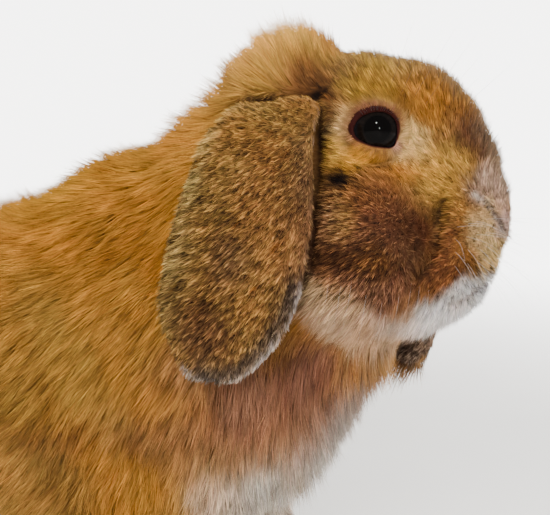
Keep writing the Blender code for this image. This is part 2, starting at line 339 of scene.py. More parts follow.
# The muzzle's mesh is divided finer, twice.
FINE_CENTRE, FINE_RADII = (33, 0, -38), (24, 19.2)
face = bmesh.new()
face.from_mesh(skin_mesh)
for radius in FINE_RADII:
    centre = Vector(from_head(FINE_CENTRE))
    chosen = [e for e in face.edges if (e.verts[0].co - centre).length < radius * MM]
    bmesh.ops.subdivide_edges(face, edges=chosen, cuts=1, use_grid_fill=True)
bmesh.ops.triangulate(face, faces=[f for f in face.faces if len(f.verts) > 4])
face.to_mesh(skin_mesh)
face.free()

# Lids: the skin round each eye is laid in rings, from a bowl under the eyeball, over the lid's
# rolled edge and out to the face. The opening is given by its reach from the eye's axis at
# angles counted from the front corner's way over the top, all in degrees and millimetres.
EYE_RADIUS = 9.0
EYE_AXIS = (0.49, 0.868, -0.08)
OPENING = (
    (0, 6.6), (30, 6.5), (60, 6.0), (90, 5.6), (120, 5.8), (150, 6.8), (180, 7.5), (200, 7.0),
    (220, 6.0), (240, 5.5), (260, 5.3), (280, 5.6), (296, 6.4), (308, 7.4), (318, 7.9), (330, 7.2),
    (345, 6.8),
)
OPENING_SOFTENINGS, LID_STEPS = 6, 96
BOWL_RADIUS, BOWL_INSET = 7.6, 0.4
BOWL_SHARES = (0.25, 0.5, 0.75, 0.92)
# Each ring of the lid's edge: how far it is outside the opening, and from the eye's centre.
LID_EDGE = ((-0.30, 8.55), (-0.10, 9.00), (0.05, 9.30), (0.30, 9.62), (0.70, 9.85), (1.20, 9.90))
LID_OUTER, LID_RINGS, LID_DIP, LID_MARGIN = 11.6, 9, 0.8, 0.9
# The hide is taken away inside the lids down to a depth, and softened round them to another.
LID_DEEPEST, SOFT_DEEPEST, OUTSIDE_FACE = -6, -8, 30.0
LID_SOFT_FROM, LID_SOFT_TO, LID_SOFTENINGS = 10.0, 16, 12


def eye_axes(side):
    """An eye's outward axis, the way to the face's front across it, and up across it, in the world."""
    sign = 1 if side == "left" else -1
    outward = EYE_AXIS[0] * HEAD_AXES[0] + sign * EYE_AXIS[1] * HEAD_AXES[1] + EYE_AXIS[2] * HEAD_AXES[2]
    outward /= np.linalg.norm(outward)
    frontward = HEAD_AXES[0] - outward * (HEAD_AXES[0] @ outward)
    frontward /= np.linalg.norm(frontward)
    upward = np.cross(outward, frontward) * -sign
    return outward, frontward, upward


def eye_local(points, side):
    """Points as (front, up, out) across an eye's axis, in millimetres from its centre."""
    outward, frontward, upward = eye_axes(side)
    away = (points - np.array(eye_centre[side])) / MM
    return np.column_stack((away @ frontward, away @ upward, away @ outward))


def opening_reach(angles):
    """How far the lids' opening reaches from the eye's axis at the angles, in millimetres."""
    table = np.array(OPENING, float)
    fine = np.arange(0, 360, 2.0)
    reach = np.interp(fine, table[:, 0], table[:, 1], period=360)
    for _ in range(OPENING_SOFTENINGS):
        reach = (np.roll(reach, 1) + 2 * reach + np.roll(reach, -1)) / 4
    return np.interp(np.degrees(angles) % 360, fine, reach, period=360)


hide = bmesh.new()
hide.from_mesh(skin_mesh)
for side in ("right", "left"):
    outward, frontward, upward = eye_axes(side)
    centre = np.array(eye_centre[side])
    surface = tree_of(skin_mesh)
    angles = np.arange(LID_STEPS) * 2 * math.pi / LID_STEPS
    reach = opening_reach(angles)

    def ring_points(across, out):
        """World points of a ring, from its reach across the axis and its height along it."""
        return (centre + MM * (np.outer(np.cos(angles) * across, frontward)
                               + np.outer(np.sin(angles) * across, upward) + np.outer(out, outward)))

    def face_height(across):
        """The face's own height along the axis under a ring."""
        heights = []
        for point in ring_points(across, np.full(LID_STEPS, OUTSIDE_FACE)):
            hit = surface.ray_cast(Vector(point), Vector(-outward))[0]
            heights.append(0.0 if hit is None else (np.array(hit) - centre) @ outward / MM)
        return np.array(heights)

    rings = []
    for share in BOWL_SHARES:
        across = (reach - BOWL_INSET) * share
        rings.append(ring_points(across, np.sqrt(BOWL_RADIUS**2 - across**2)))
    for offset, shell in LID_EDGE:
        across = reach + offset
        rings.append(ring_points(across, np.sqrt(np.maximum(shell**2 - across**2, 0.0))))
    crest_across = reach + LID_EDGE[-1][0]
    crest = np.sqrt(np.maximum(LID_EDGE[-1][1] ** 2 - crest_across**2, 0.0))
    for step in range(1, LID_RINGS + 1):
        share = step / LID_RINGS
        across = crest_across * (1 - share) + LID_OUTER * share
        ease = smooth(0, 1, share)
        out = (crest - LID_DIP * share * (1 - share)) * (1 - ease) + face_height(across) * ease
        rings.append(ring_points(across, out))

    away = eye_local(np.array([v.co for v in hide.verts]), side)
    inside = (np.hypot(away[:, 0], away[:, 1]) < LID_OUTER + LID_MARGIN) & (away[:, 2] > LID_DEEPEST)
    hide.verts.ensure_lookup_table()
    bmesh.ops.delete(hide, geom=[hide.verts[i] for i in np.flatnonzero(inside)], context="VERTS")
    rim = [e for e in hide.edges if e.is_boundary]
    laid = [[hide.verts.new(p) for p in ring] for ring in rings]
    for inner, outer in zip(laid, laid[1:]):
        for step in range(LID_STEPS):
            after = (step + 1) % LID_STEPS
            hide.faces.new((inner[step], inner[after], outer[after], outer[step]))
    hide.faces.new(laid[0])
    hide.edges.index_update()
    outer = laid[-1]
    rim += [hide.edges.get((outer[i], outer[(i + 1) % LID_STEPS])) for i in range(LID_STEPS)]
    bmesh.ops.bridge_loops(hide, edges=rim)
    settled = eye_local(np.array([v.co for v in hide.verts]), side)
    reach_out = np.hypot(settled[:, 0], settled[:, 1])
    hide.verts.ensure_lookup_table()
    round_lids = (reach_out > LID_SOFT_FROM) & (reach_out < LID_SOFT_TO) & (settled[:, 2] > SOFT_DEEPEST)
    soft = [hide.verts[i] for i in np.flatnonzero(round_lids)]
    for _ in range(LID_SOFTENINGS):
        bmesh.ops.smooth_vert(
            hide, verts=soft, factor=0.5, use_axis_x=True, use_axis_y=True, use_axis_z=True)
bmesh.ops.recalc_face_normals(hide, faces=hide.faces[:])
hide.to_mesh(skin_mesh)
hide.free()

# How far the ears' faces and rims stand out from the hide, and the face's own forms, each with
# its middle, its reach and its rise in millimetres.
EAR_RISE, EAR_RIM_RISE = 0.2, 1.8
FORMS = (
    ("nose", (37, 0, -27), (10, 10, 14), 3.9),
    ("whisker pad", (31, 14, -34), (9, 11, 14), 2.4),
    ("cheek", (5, 35, -34), (18, 16, 20), 1.0),
    ("brow", (3, 23, 11), (14, 9, 7), 0.7),
    ("bridge", (26, 0, 0), (16, 12, 20), 2.2),
    ("crown", (2, 0, 24), (30, 24, 12), 2.0),
)


def patch(places, centre, reach):
    """1 in the middle of an oval patch and 0 outside it."""
    away = (places - np.array(centre, float)) / np.array(reach, float)
    return 1 - smooth(0.30, 1.25, np.linalg.norm(away, axis=1))


points = coordinates(skin_mesh)
normals = normals_of(skin_mesh)
folded = to_head(points)
folded[:, 1] = np.abs(folded[:, 1])
off_lids = np.ones(len(points))
for side in ("right", "left"):
    local = eye_local(points, side)
    reach = opening_reach(np.arctan2(local[:, 1], local[:, 0]))
    off_lids *= smooth(2.0, 5.0, np.hypot(local[:, 0], local[:, 1]) - reach)
rise = sum(patch(folded, centre, reach) * height for _, centre, reach, height in FORMS)
rim = 1 - smooth(0.35, 0.8, np.abs(normals[:, 1]))
rise = rise + ear_share(points) * (EAR_RISE + EAR_RIM_RISE * rim)
set_coordinates(skin_mesh, points + normals * (rise * off_lids)[:, None] * MM)

EAR_TOP_FOLD = ((-43, -38, 9.5), (-35, -37, 10), (-29, -34, 10.3), (-24, -31.5, 10.8), (-19, -29, 11.2))
EAR_GAP_FOLD = ((-17, -28, 13), (-18.5, -29, 11), (-18, -31, 8))
EAR_FRONT_FOLD = (
    (-15, -33.5, 7), (-17, -30.5, 0), (-17, -30.5, -10), (-15.5, -33.7, -24), (-14, -36.5, -34),
    (-14.4, -37, -46),
)
# Folds of the face, each a groove with a depth and a width along a path on the right side and its
# mirror image: the nostril, the cleft under the nose, the mouth's line, the ones where the ear
# leaves the crown and lies on the cheek, and the crease between cheek and whisker pad.
FOLDS = (
    ("nostril", ((33, -8.5, -21), (35, -6.5, -26), (36.5, -2.6, -30.5)), 1.6, 1.0),
    ("cleft", ((37, 0, -30), (36, 0, -40), (34, 0, -49)), 2.4, 1.6),
    ("mouth", ((34, 0, -48), (32, -8, -52), (27, -14, -57), (19, -18, -61)), 1.8, 1.3),
    ("ear top", EAR_TOP_FOLD, 2.2, 1.7),
    ("ear gap", EAR_GAP_FOLD, 2.6, 2.2),
    ("ear front", EAR_FRONT_FOLD, 1.8, 1.7),
    ("pad crease", ((22.4, -14.1, -20), (20.9, -14.5, -29), (21, -16, -36), (19.5, -20, -43),
                    (16, -25, -47)), 2.7, 1.9),
)


def drawn_onto(mesh_tree, path):
    """The path's corners moved to the nearest places on the mesh, in world coordinates."""
    return [np.array(mesh_tree.find_nearest(Vector(from_head(p)))[0]) for p in path]


skin_tree = tree_of(skin_mesh)
points = coordinates(skin_mesh)
normals = normals_of(skin_mesh)
for name, path, depth, width in FOLDS:
    for sign in (1,) if name == "cleft" else (1, -1):
        drawn = drawn_onto(skin_tree, [(x, y * sign, z) for x, y, z in path])
        gap, along = distance_to_path(points, drawn)
        ends = smooth(0, 0.12, along) * (1 - smooth(0.85, 1.0, along) * 0.6)
        groove = depth * np.exp(-((gap / MM / width) ** 2)) * ends
        points -= normals * groove[:, None] * MM
set_coordinates(skin_mesh, points)
skin_mesh.shade_smooth()

# The hide's unwrap, on its own shape, which the coat's tufts take their places from.
skin = link("skin", skin_mesh)
bpy.context.view_layer.objects.active = skin
skin.select_set(True)
skin_mesh.uv_layers.new(name="OFBake")
bpy.ops.object.mode_set(mode="EDIT")
bpy.ops.mesh.select_all(action="SELECT")
bpy.ops.uv.smart_project(angle_limit=math.radians(66), island_margin=0.002)
bpy.ops.object.mode_set(mode="OBJECT")
skin.select_set(False)


def mix(under, over, share):
    """Each place's row of values, going from under to over by the place's share."""
    share = share[:, None]
    return under * (1 - share) + np.asarray(over, float) * share


def wobble(points, size, seed):
    """Soft random waves between -1 and 1, about the size across in millimetres."""
    rng = np.random.default_rng(seed)
    total = np.zeros(len(points))
    for _ in range(7):
        way = rng.normal(size=3)
        way *= 2 * math.pi / (size * rng.uniform(0.7, 1.6)) / np.linalg.norm(way)
        total += np.sin(points / MM @ way + rng.uniform(0, 2 * math.pi))
    return total / 2.6


# Markings: an orange-gold coat with brown ears, crown and bridge, cream round the eyes, dark
# brown cheeks, a pale muzzle, and white under the jaw, on the chest and on the belly. Some marks
# are painted light and shade: painted shade before the ear, under the jaw, in the face's folds and
# in a crease of the flank's fur, and a painted highlight on the nostril's rim and over the real gold
# of the crest's back and the cream in front of the eye. Each patch has its middle and reach, a
# linear colour and a strength, and lies over those before it.
TRUNK_COLOUR, FACE_COLOUR, EAR_COLOUR = (0.360, 0.149, 0.019), (0.270, 0.125, 0.036), (0.210, 0.090, 0.026)
RUFF_COLOUR, INNER_EAR_COLOUR = (0.570, 0.300, 0.080), (0.300, 0.190, 0.140)
WHITE, CHIN_COLOUR, JAW_COLOUR = (0.560, 0.490, 0.415), (0.640, 0.600, 0.590), (0.400, 0.240, 0.140)
BODY_PATCHES = (
    ("nape", (38, 20, 205), (46, 40, 34), (0.460, 0.210, 0.035), 0.9),
    ("back", (-45, 0, 185), (70, 60, 34), (0.363, 0.177, 0.015), 0.9),
    ("flank", (-12, 56, 112), (42, 34, 44), (0.279, 0.144, 0.025), 0.9),
    ("flank low", (20, 54, 86), (30, 30, 18), (0.260, 0.125, 0.030), 0.8),
    ("shoulder", (31, 50, 118), (24, 26, 26), (0.288, 0.131, 0.022), 0.9),
    ("throat", (94, 10, 84), (26, 28, 34), (0.225, 0.157, 0.134), 0.9),
    # Painted shade: a dark patch under the jaw, standing in for the head's shadow on the throat.
    ("painted shade under jaw", (85, 25, 110), (18, 20, 16), (0.150, 0.052, 0.022), 1.0),
    ("elbow", (34, 44, 80), (26, 24, 20), (0.200, 0.090, 0.028), 0.85),
    ("loin", (-14, 50, 80), (24, 24, 16), (0.111, 0.036, 0.009), 0.85),
    ("chest side", (68, 42, 104), (36, 30, 34), (0.218, 0.098, 0.063), 0.85),
    ("thigh", (-22, 60, 58), (44, 30, 34), (0.324, 0.165, 0.037), 0.9),
    ("legs", (52, 22, 50), (36, 30, 42), (0.360, 0.190, 0.060), 0.8),
)
HEAD_PATCHES = (
    ("crest", (-36, 14, 34), (30, 34, 22), (0.400, 0.185, 0.035), 1.0),
    # Partly the crest's own gold, partly a painted highlight: its colour is lifted to stand in for the light
    # on it.
    ("crest back with painted highlight", (-52, 26, 20), (27, 30, 24), (0.900, 0.520, 0.090), 0.9),
    ("crown", (-8, 20, 22), (19, 22, 12), (0.301, 0.160, 0.027), 1.0),
    ("crown middle", (-4, 0, 26), (32, 12, 14), (0.160, 0.095, 0.045), 0.9),
    ("brow", (2, 23, 12), (15, 10, 8), (0.214, 0.110, 0.012), 0.95),
    ("forehead", (17, 14, 9), (14, 17, 12), (0.309, 0.120, 0.017), 1.0),
    ("bridge", (28, 6, -4), (13, 13, 14), (0.088, 0.035, 0.016), 0.95),
    ("forehead middle", (20, 0, 16), (15, 8, 12), (0.150, 0.085, 0.040), 0.85),
    ("bridge middle", (33, 0, -2), (12, 7, 14), (0.160, 0.100, 0.060), 0.85),
    ("side of nose", (22, 18, -14), (12, 12, 12), (0.576, 0.295, 0.054), 0.9),
    ("muzzle top", (35, 6, -19), (9, 10, 10), (0.413, 0.273, 0.206), 1.0),
    # Partly the cream fur in front of the eye, partly a painted highlight: its colour is lifted to stand in
    # for the light on it.
    ("eye ring front with painted highlight", (13, 23, -4.5), (9, 9, 9), (0.930, 0.600, 0.230), 1.0),
    ("eye ring back", (-8, 30.5, 0), (6, 8, 8), (0.612, 0.404, 0.174), 0.9),
    ("under eye", (-3, 30, -11), (9, 9, 6), (0.798, 0.347, 0.038), 0.9),
    ("temple", (-10.5, 31, -7), (6, 8, 7), (0.725, 0.381, 0.070), 0.9),
    ("tear line", (13, 24, -14), (6, 7, 5), (0.677, 0.251, 0.027), 0.9),
    ("red patch", (7, 27, -15), (7, 7, 5), (0.191, 0.071, 0.008), 0.7),
    ("cheek top", (6, 33, -20), (15, 13, 10), (0.263, 0.097, 0.027), 0.95),
    ("cheek", (8, 34, -33), (19, 18, 17), (0.117, 0.043, 0.020), 1.0),
    ("cheek gold", (-7, 37, -30), (9, 10, 9), (0.221, 0.102, 0.030), 0.9),
    ("cheek low", (6, 34, -50), (26, 18, 16), (0.194, 0.080, 0.046), 1.0),
    ("cheek deep", (7, 34, -42), (10, 12, 8), (0.121, 0.045, 0.015), 1.0),
    ("before pad", (17, 24, -33), (5, 9, 9), (0.105, 0.039, 0.018), 1.0),
    ("whisker pad", (31, 14, -32), (11, 13, 15), (0.340, 0.139, 0.031), 1.0),
    ("pad front", (33, 8, -33), (7, 8, 12), (0.917, 0.605, 0.298), 0.9),
    ("pad back", (24.5, 19, -37), (6, 7, 13), (0.201, 0.074, 0.028), 0.9),
    ("pad low", (25, 20, -48), (12, 11, 12), (0.110, 0.036, 0.013), 0.95),
    ("cheek back", (-12, 39, -38), (10, 13, 26), (0.190, 0.078, 0.040), 0.9),
    ("cheek dark", (-4, 37, -42), (11, 12, 8), (0.049, 0.018, 0.008), 1.0),
    # Painted shade: a near-black patch where the ear leaves the head, standing in for the shadow in that
    # gap.
    ("painted shade before ear", (-14.5, 31, 0), (4, 8, 15), (0.010, 0.004, 0.003), 0.85),
    ("nose", (38, 3, -29), (5, 6, 6), (0.451, 0.297, 0.253), 0.9),
    ("crest root", (-21, 28, 15), (12, 12, 14), (0.150, 0.058, 0.018), 0.9),
    ("crown back", (-13, 21, 25), (7, 12, 10), (0.160, 0.085, 0.030), 0.85),
    ("crest top", (-34, 10, 46), (16, 18, 9), (0.300, 0.215, 0.150), 0.8),
    ("spot", (-6, 32, -17), (6, 9, 5.5), (0.004, 0.002, 0.002), 1.0),
)
EAR_PATCHES = (
    ("ear", (-30, 52, -30), (60, 40, 90), (0.210, 0.101, 0.029), 1.0),
    ("ear root", (-26, 40, 0), (24, 24, 16), (0.240, 0.112, 0.028), 0.9),
    ("back rim", (-57, 54, -36), (15, 26, 46), (0.162, 0.093, 0.033), 0.85),
    ("front rim", (-12, 46, -40), (8, 20, 40), (0.202, 0.091, 0.041), 0.9),
    ("ear low", (-44, 52, -68), (14, 24, 16), (0.090, 0.038, 0.016), 0.95),
    ("ear gold", (-23, 52, -34), (11, 20, 34), (0.247, 0.103, 0.031), 0.75),
    ("ear dusk", (-35, 54, -44), (8, 20, 12), (0.113, 0.053, 0.026), 0.7),
    ("ear tip", (-36, 50, -92), (32, 30, 15), (0.050, 0.036, 0.030), 0.8),
    ("far ear front", (-14, 46, -88), (20, 24, 17), (0.045, 0.036, 0.034), 0.85),
)
# Narrow marks along paths on the head, on both sides: reach across, colour and strength. The dark
# ones in folds, grooves and creases are painted shade, and the nostril's pale edge is partly a
# painted highlight.
HEAD_LINES = (
    ("brow edge", ((-16, -23, 23), (-16, -29, 16), (-14, -31, 9)), 2.8, (0.150, 0.062, 0.018), 0.55),
    # Partly the nostril's pale pink rim, partly a painted highlight on the fold beside it.
    ("nostril rim with painted highlight", ((31, -10.5, -20.5), (33, -7.8, -23.5), (35, -5.6, -27), (36, -3.6, -31)), 1.3,
     (0.850, 0.700, 0.620), 0.7),
    # Painted shade: dark lines in the nostril, the cleft and the mouth's line stand in for the shade in
    # their grooves.
    ("nostril", ((35.5, -5.6, -24), (36.5, -4, -27), (37.2, -2, -30)), 1.2, (0.045, 0.022, 0.018), 0.8),
    ("cleft", ((37, 0, -30), (36.5, 0, -37), (35, 0, -46)), 1.1, (0.120, 0.060, 0.045), 0.7),
    ("mouth", ((34, -1, -49), (32, -8, -52.5), (27, -14, -57)), 1.2, (0.130, 0.070, 0.055), 0.6),
    ("ear rim", ((-41, -47, 6), (-45, -54, -8), (-49, -57, -20), (-53, -58, -34), (-57, -58, -48)), 3.2,
     (0.440, 0.280, 0.100), 0.5),
    ("ear hem", ((-15.4, -45.5, -50), (-19.2, -46, -61), (-25.4, -47.5, -71), (-31.7, -49.5, -78.7),
                 (-38, -52, -82.2), (-44, -55, -82)), 3.0, (0.040, 0.027, 0.022), 0.88),
    ("ear edge", ((-12.0, -42.5, -52.8), (-16.0, -43, -64.4), (-22.2, -44.5, -75.4), (-28.9, -46, -84),
                  (-37, -48.5, -88), (-44.5, -51.5, -88), (-54, -54, -83.5)), 1.4,
     (0.520, 0.430, 0.400), 0.95),
    # Painted shade: near-black lines in the folds where the ear leaves the crown and lies on the cheek.
    ("ear top", EAR_TOP_FOLD, 1.9, (0.014, 0.006, 0.003), 0.95),
    ("ear gap", EAR_GAP_FOLD, 2.6, (0.006, 0.003, 0.002), 1.0),
    ("ear front", EAR_FRONT_FOLD, 2.0, (0.014, 0.006, 0.003), 0.95),
    # Painted shade: a dark line in the crease between the cheek and the whisker pad.
    ("pad crease", ((22, -14.2, -23), (20.9, -14.5, -29), (21.2, -15.3, -34), (20.8, -17.5, -39),
                    (19.5, -19.8, -43), (17, -23, -46)), 1.5, (0.045, 0.018, 0.009), 0.9),
    # Painted shade: a darker line along a crease in the flank's fur.
    ("painted shade in side crease", ((-105, -52, -52), (-101, -54, -60), (-100, -57, -76)), 1.6, (0.200, 0.085, 0.012), 0.8),
)
HEAD_WAVER, BODY_WAVER = 1.0, 4.0
CREASE_MARKS, CREASE_REACH = ("ear top", "ear gap", "ear front"), 3.2
EAR_MARKS, LOWERED_MARKS = ("ear rim", "ear hem", "ear edge"), ("ear hem", "ear edge")
# The heights of the lips' line and of the jaw's lower end, each at its places along the head.
JAW_LINE = ((-20, -10, -1, 7, 12, 20, 28, 34, 38), (-46, -50, -52.5, -57, -60, -54, -48.5, -45, -43))
JAW_END = ((-24, -14, -7, 2, 12), (-58, -66, -75, -80, -84))


def markings(points, normals, ears):
    """Each place's colour, from its patches and marks, and how deep in an ear's crease it lies."""
    head = to_head(points)
    head = head + HEAD_WAVER * np.column_stack([wobble(points, 8, seed) for seed in (1, 2, 3)])
    head[:, 1] = np.abs(head[:, 1])
    body = points / MM + BODY_WAVER * np.column_stack([wobble(points, 34, seed) for seed in (4, 5, 6)])
    body[:, 1] = np.abs(body[:, 1])
    colour = np.tile(TRUNK_COLOUR, (len(points), 1))
    for _, centre, reach, tint, strength in BODY_PATCHES:
        colour = mix(colour, tint, patch(body, centre, reach) * strength)
    low = 1 - smooth(52, 92, body[:, 2] + 0.25 * body[:, 1] - 0.16 * body[:, 0])
    front = smooth(36, 66, body[:, 0])
    belly = (1 - smooth(12, 34, body[:, 2])) * (1 - smooth(30, 58, body[:, 1]))
    tail = smooth(112, 126, -body[:, 0]) * (1 - smooth(52, 74, body[:, 2]))
    white = np.maximum.reduce([low * front * (1 - smooth(36, 60, body[:, 1])), belly, tail])
    colour = mix(colour, WHITE, white)
    jaw_end = np.interp(head[:, 0], JAW_END[0], JAW_END[1])
    on_head = smooth(-46, -26, head[:, 0]) * smooth(-4, 4, head[:, 2] - jaw_end)
    face = np.tile(FACE_COLOUR, (len(points), 1))
    for _, centre, reach, tint, strength in HEAD_PATCHES:
        face = mix(face, tint, patch(head, centre, reach) * strength)
    lip_height = np.interp(head[:, 0], JAW_LINE[0], JAW_LINE[1])
    jaw = smooth(-2.5, 4.0, lip_height - head[:, 2]) * smooth(-30, -18, head[:, 0])
    lip = mix(np.tile(JAW_COLOUR, (len(points), 1)), CHIN_COLOUR, smooth(2, 22, head[:, 0]))
    face = mix(face, lip, jaw)
    colour = mix(colour, face, on_head)
    ruff = patch(head, (-38, 14, 30), (34, 38, 26))
    colour = mix(colour, RUFF_COLOUR, ruff * (1 - on_head) * 0.8)
    ear = np.tile(EAR_COLOUR, (len(points), 1))
    for _, centre, reach, tint, strength in EAR_PATCHES:
        ear = mix(ear, tint, patch(head, centre, reach) * strength)
    inner = smooth(0.1, 0.5, -normals[:, 1] * np.sign(to_head(points)[:, 1]))
    ear = mix(ear, INNER_EAR_COLOUR, inner * 0.7)
    colour = mix(colour, ear, ears)
    creases = np.zeros(len(points))
    for name, path, reach, tint, strength in HEAD_LINES:
        for sign in (1, -1):
            lower = EAR_DROP if sign < 0 and name in LOWERED_MARKS else 0
            drawn = drawn_onto(hide_tree, [(x, y * sign, z - lower) for x, y, z in path])
            gap, _ = distance_to_path(points, drawn)
            here = ears if name in EAR_MARKS else 1.0
            colour = mix(colour, tint, np.exp(-((gap / MM / reach) ** 2)) * strength * here)
            if name in CREASE_MARKS:
                creases = np.maximum(creases, np.exp(-((gap / MM / CREASE_REACH) ** 2)))
    mottle = 0.15 * wobble(points, 26, 7) + 0.10 * wobble(points, 10, 8) + 0.06 * wobble(points, 5, 9)
    warmth = 0.06 * wobble(points, 18, 10)
    colour = colour * (1 + mottle[:, None]) * (1 + warmth[:, None] * np.array((0.3, -0.35, -0.8)))
    return np.clip(colour, 0, 1), creases


def paint(mesh, name, colours):
    """Keeps one colour for each of the mesh's points under the name."""
    layer = mesh.color_attributes.new(name, "FLOAT_COLOR", "POINT")
    layer.data.foreach_set("color", np.column_stack((colours, np.ones(len(colours)))).ravel())


hide_tree = tree_of(skin_mesh)
points = coordinates(skin_mesh)
skin_ears = ear_share(points)
skin_colours, crease_share = markings(points, normals_of(skin_mesh), skin_ears)
# The lids' bare edge is widest over the back of the eye; the front corner is bare and pink.
LID_BAND = (
    (0, 0.9), (30, 1.1), (90, 1.9), (135, 2.4), (180, 1.9), (205, 0.9), (230, 0.4), (320, 0.3), (345, 0.6),
)
LID_COLOUR, LID_FADE, CORNER_COLOUR = (0.024, 0.005, 0.004), (0.150, 0.055, 0.030), (0.400, 0.200, 0.150)
CORNER_FRONT, CORNER_BELOW = 6.8, 5.6
lid_band, lid_fade, corner, bare_lid = np.zeros((4, len(points)))
for side in ("right", "left"):
    local = eye_local(points, side)
    reach = np.hypot(local[:, 0], local[:, 1])
    angles = np.arctan2(local[:, 1], local[:, 0])
    beyond = reach - opening_reach(angles)
    band = np.interp(np.degrees(angles) % 360, *np.array(LID_BAND).T, period=360)
    here = (local[:, 2] > 0) & (reach < 14)
    lid_band = np.maximum(lid_band, (1 - smooth(band - 0.3, band + 0.3, beyond)) * here)
    lid_fade = np.maximum(lid_fade, (1 - smooth(band * 0.8, band * 1.6 + 0.4, beyond)) * here)
    bare_lid = np.maximum(bare_lid, (beyond < 0.25 + band * 0.6) * here)
    corner_gap = np.hypot(local[:, 0] - CORNER_FRONT, local[:, 1] + CORNER_BELOW)
    corner = np.maximum(corner, (1 - smooth(0.8, 2.6, corner_gap)) * here * (beyond > 0.1))
skin_colours = mix(skin_colours, LID_FADE, lid_fade * 0.75)
skin_colours = mix(skin_colours, CORNER_COLOUR, corner * 0.6)
bare_colours = mix(skin_colours * 0.8, LID_COLOUR, lid_band)
bare_colours = mix(bare_colours, CORNER_COLOUR, corner * 0.7)
paint(skin_mesh, "markings", bare_colours)

# The grain of hair and hide: lighter and darker flecks, a change of gloss, and a fine relief.
grain = node_group("grain", "ShaderNodeTree", (
    ("Colour", "INPUT", "Color"), ("Fleck Scale", "INPUT", "Float"), ("Fleck Depth", "INPUT", "Float"),
    ("Smoothest", "INPUT", "Float"), ("Roughest", "INPUT", "Float"), ("Colour", "OUTPUT", "Color"),
    ("Roughness", "OUTPUT", "Float"), ("Relief", "OUTPUT", "Float"),
))
start, end = add_node(grain, "NodeGroupInput"), add_node(grain, "NodeGroupOutput")
place = add_node(grain, "ShaderNodeTexCoord")
flecks = add_node(grain, "ShaderNodeTexNoise", {"Detail": 3})
lightest = add_node(grain, "ShaderNodeMath", {0: 1.0}, operation="ADD")
darkest = add_node(grain, "ShaderNodeMath", {0: 1.0}, operation="SUBTRACT")
shade = add_node(grain, "ShaderNodeMapRange", {"From Min": 0.3, "From Max": 0.7})
tinted = add_node(grain, "ShaderNodeVectorMath", operation="SCALE")
gloss = add_node(grain, "ShaderNodeMapRange")
connect(
    grain, (place, "Object", flecks, "Vector"), (start, "Fleck Scale", flecks, "Scale"),
    (start, "Fleck Depth", lightest, 1), (start, "Fleck Depth", darkest, 1),
    (flecks, "Fac", shade, "Value"), (darkest, "Value", shade, "To Min"),
    (lightest, "Value", shade, "To Max"), (start, "Colour", tinted, 0),
    (shade, "Result", tinted, "Scale"), (flecks, "Fac", gloss, "Value"),
    (start, "Smoothest", gloss, "To Min"), (start, "Roughest", gloss, "To Max"),
    (tinted, "Vector", end, "Colour"), (gloss, "Result", end, "Roughness"),
    (flecks, "Fac", end, "Relief"),
)


def new_finish(name, **uniform):
    """A new material with its node tree and its shader, whose uniform inputs are set."""
    finish = bpy.data.materials.new(name)
    finish.use_nodes = True
    shader = finish.node_tree.nodes["Principled BSDF"]
    for label, value in uniform.items():
        shader.inputs[label.replace("_", " ")].default_value = value
    return finish, finish.node_tree, shader


def grained(name, fleck_scale, fleck_depth, smoothest, roughest, relief, specular, colour=None):
    """A finish with the grain over its painted markings, or over one plain colour."""
    finish, tree, shader = new_finish(name, Specular_IOR_Level=specular)
    effect = add_node(tree, "ShaderNodeGroup", {
        "Fleck Scale": fleck_scale, "Fleck Depth": fleck_depth, "Smoothest": smoothest,
        "Roughest": roughest}, node_tree=grain)
    if colour is None:
        marked = add_node(tree, "ShaderNodeAttribute", attribute_name="markings")
        connect(tree, (marked, "Color", effect, "Colour"))
    else:
        effect.inputs["Colour"].default_value = (*colour, 1)
    bump = add_node(tree, "ShaderNodeBump", {"Strength": 0.4, "Distance": relief})
    connect(tree, (effect, "Relief", bump, "Height"), (bump, "Normal", shader, "Normal"),
            (effect, "Colour", shader, "Base Color"), (effect, "Roughness", shader, "Roughness"))
    return finish


hide_finish = grained("hide finish", 900, 0.25, 0.75, 0.95, 0.3 * MM, 0.04)
skin_mesh.materials.append(hide_finish)
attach(skin, "root")
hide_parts(*FLESH_NODES, *EAR_NODES)


# --- Coat -------------------------------------------------------------------------------------
# The fur: thin pointed tufts of hair over the whole hide, short and close on the face, ears and
# feet, long and soft on the body, standing up in a crest behind the crown. Each tuft is a closed
# three-sided needle with its root in the hide, drawn towards its neighbours' tips.
NOSE_TIP = np.array((38.0, 0.0, -27.0))
ROOT_DEPTH, LOWEST_HAIR, SPREAD_CELL = 0.25, 0.3, 3.0
TUFT_FACES = np.array(((0, 1, 3), (1, 2, 3), (2, 0, 3), (2, 1, 0)))
TUFT_PATCH = np.array(((-1, -1), (1, -1), (0, -0.4), (0, 1))) * 0.0015


def unit(vectors):
    """The vectors, each made one long."""
    return vectors / np.maximum(np.linalg.norm(vectors, axis=1), 1e-9)[:, None]


def to_world(vectors):
    """Directions given along the head's axes, turned into the world's."""
    return vectors @ HEAD_AXES


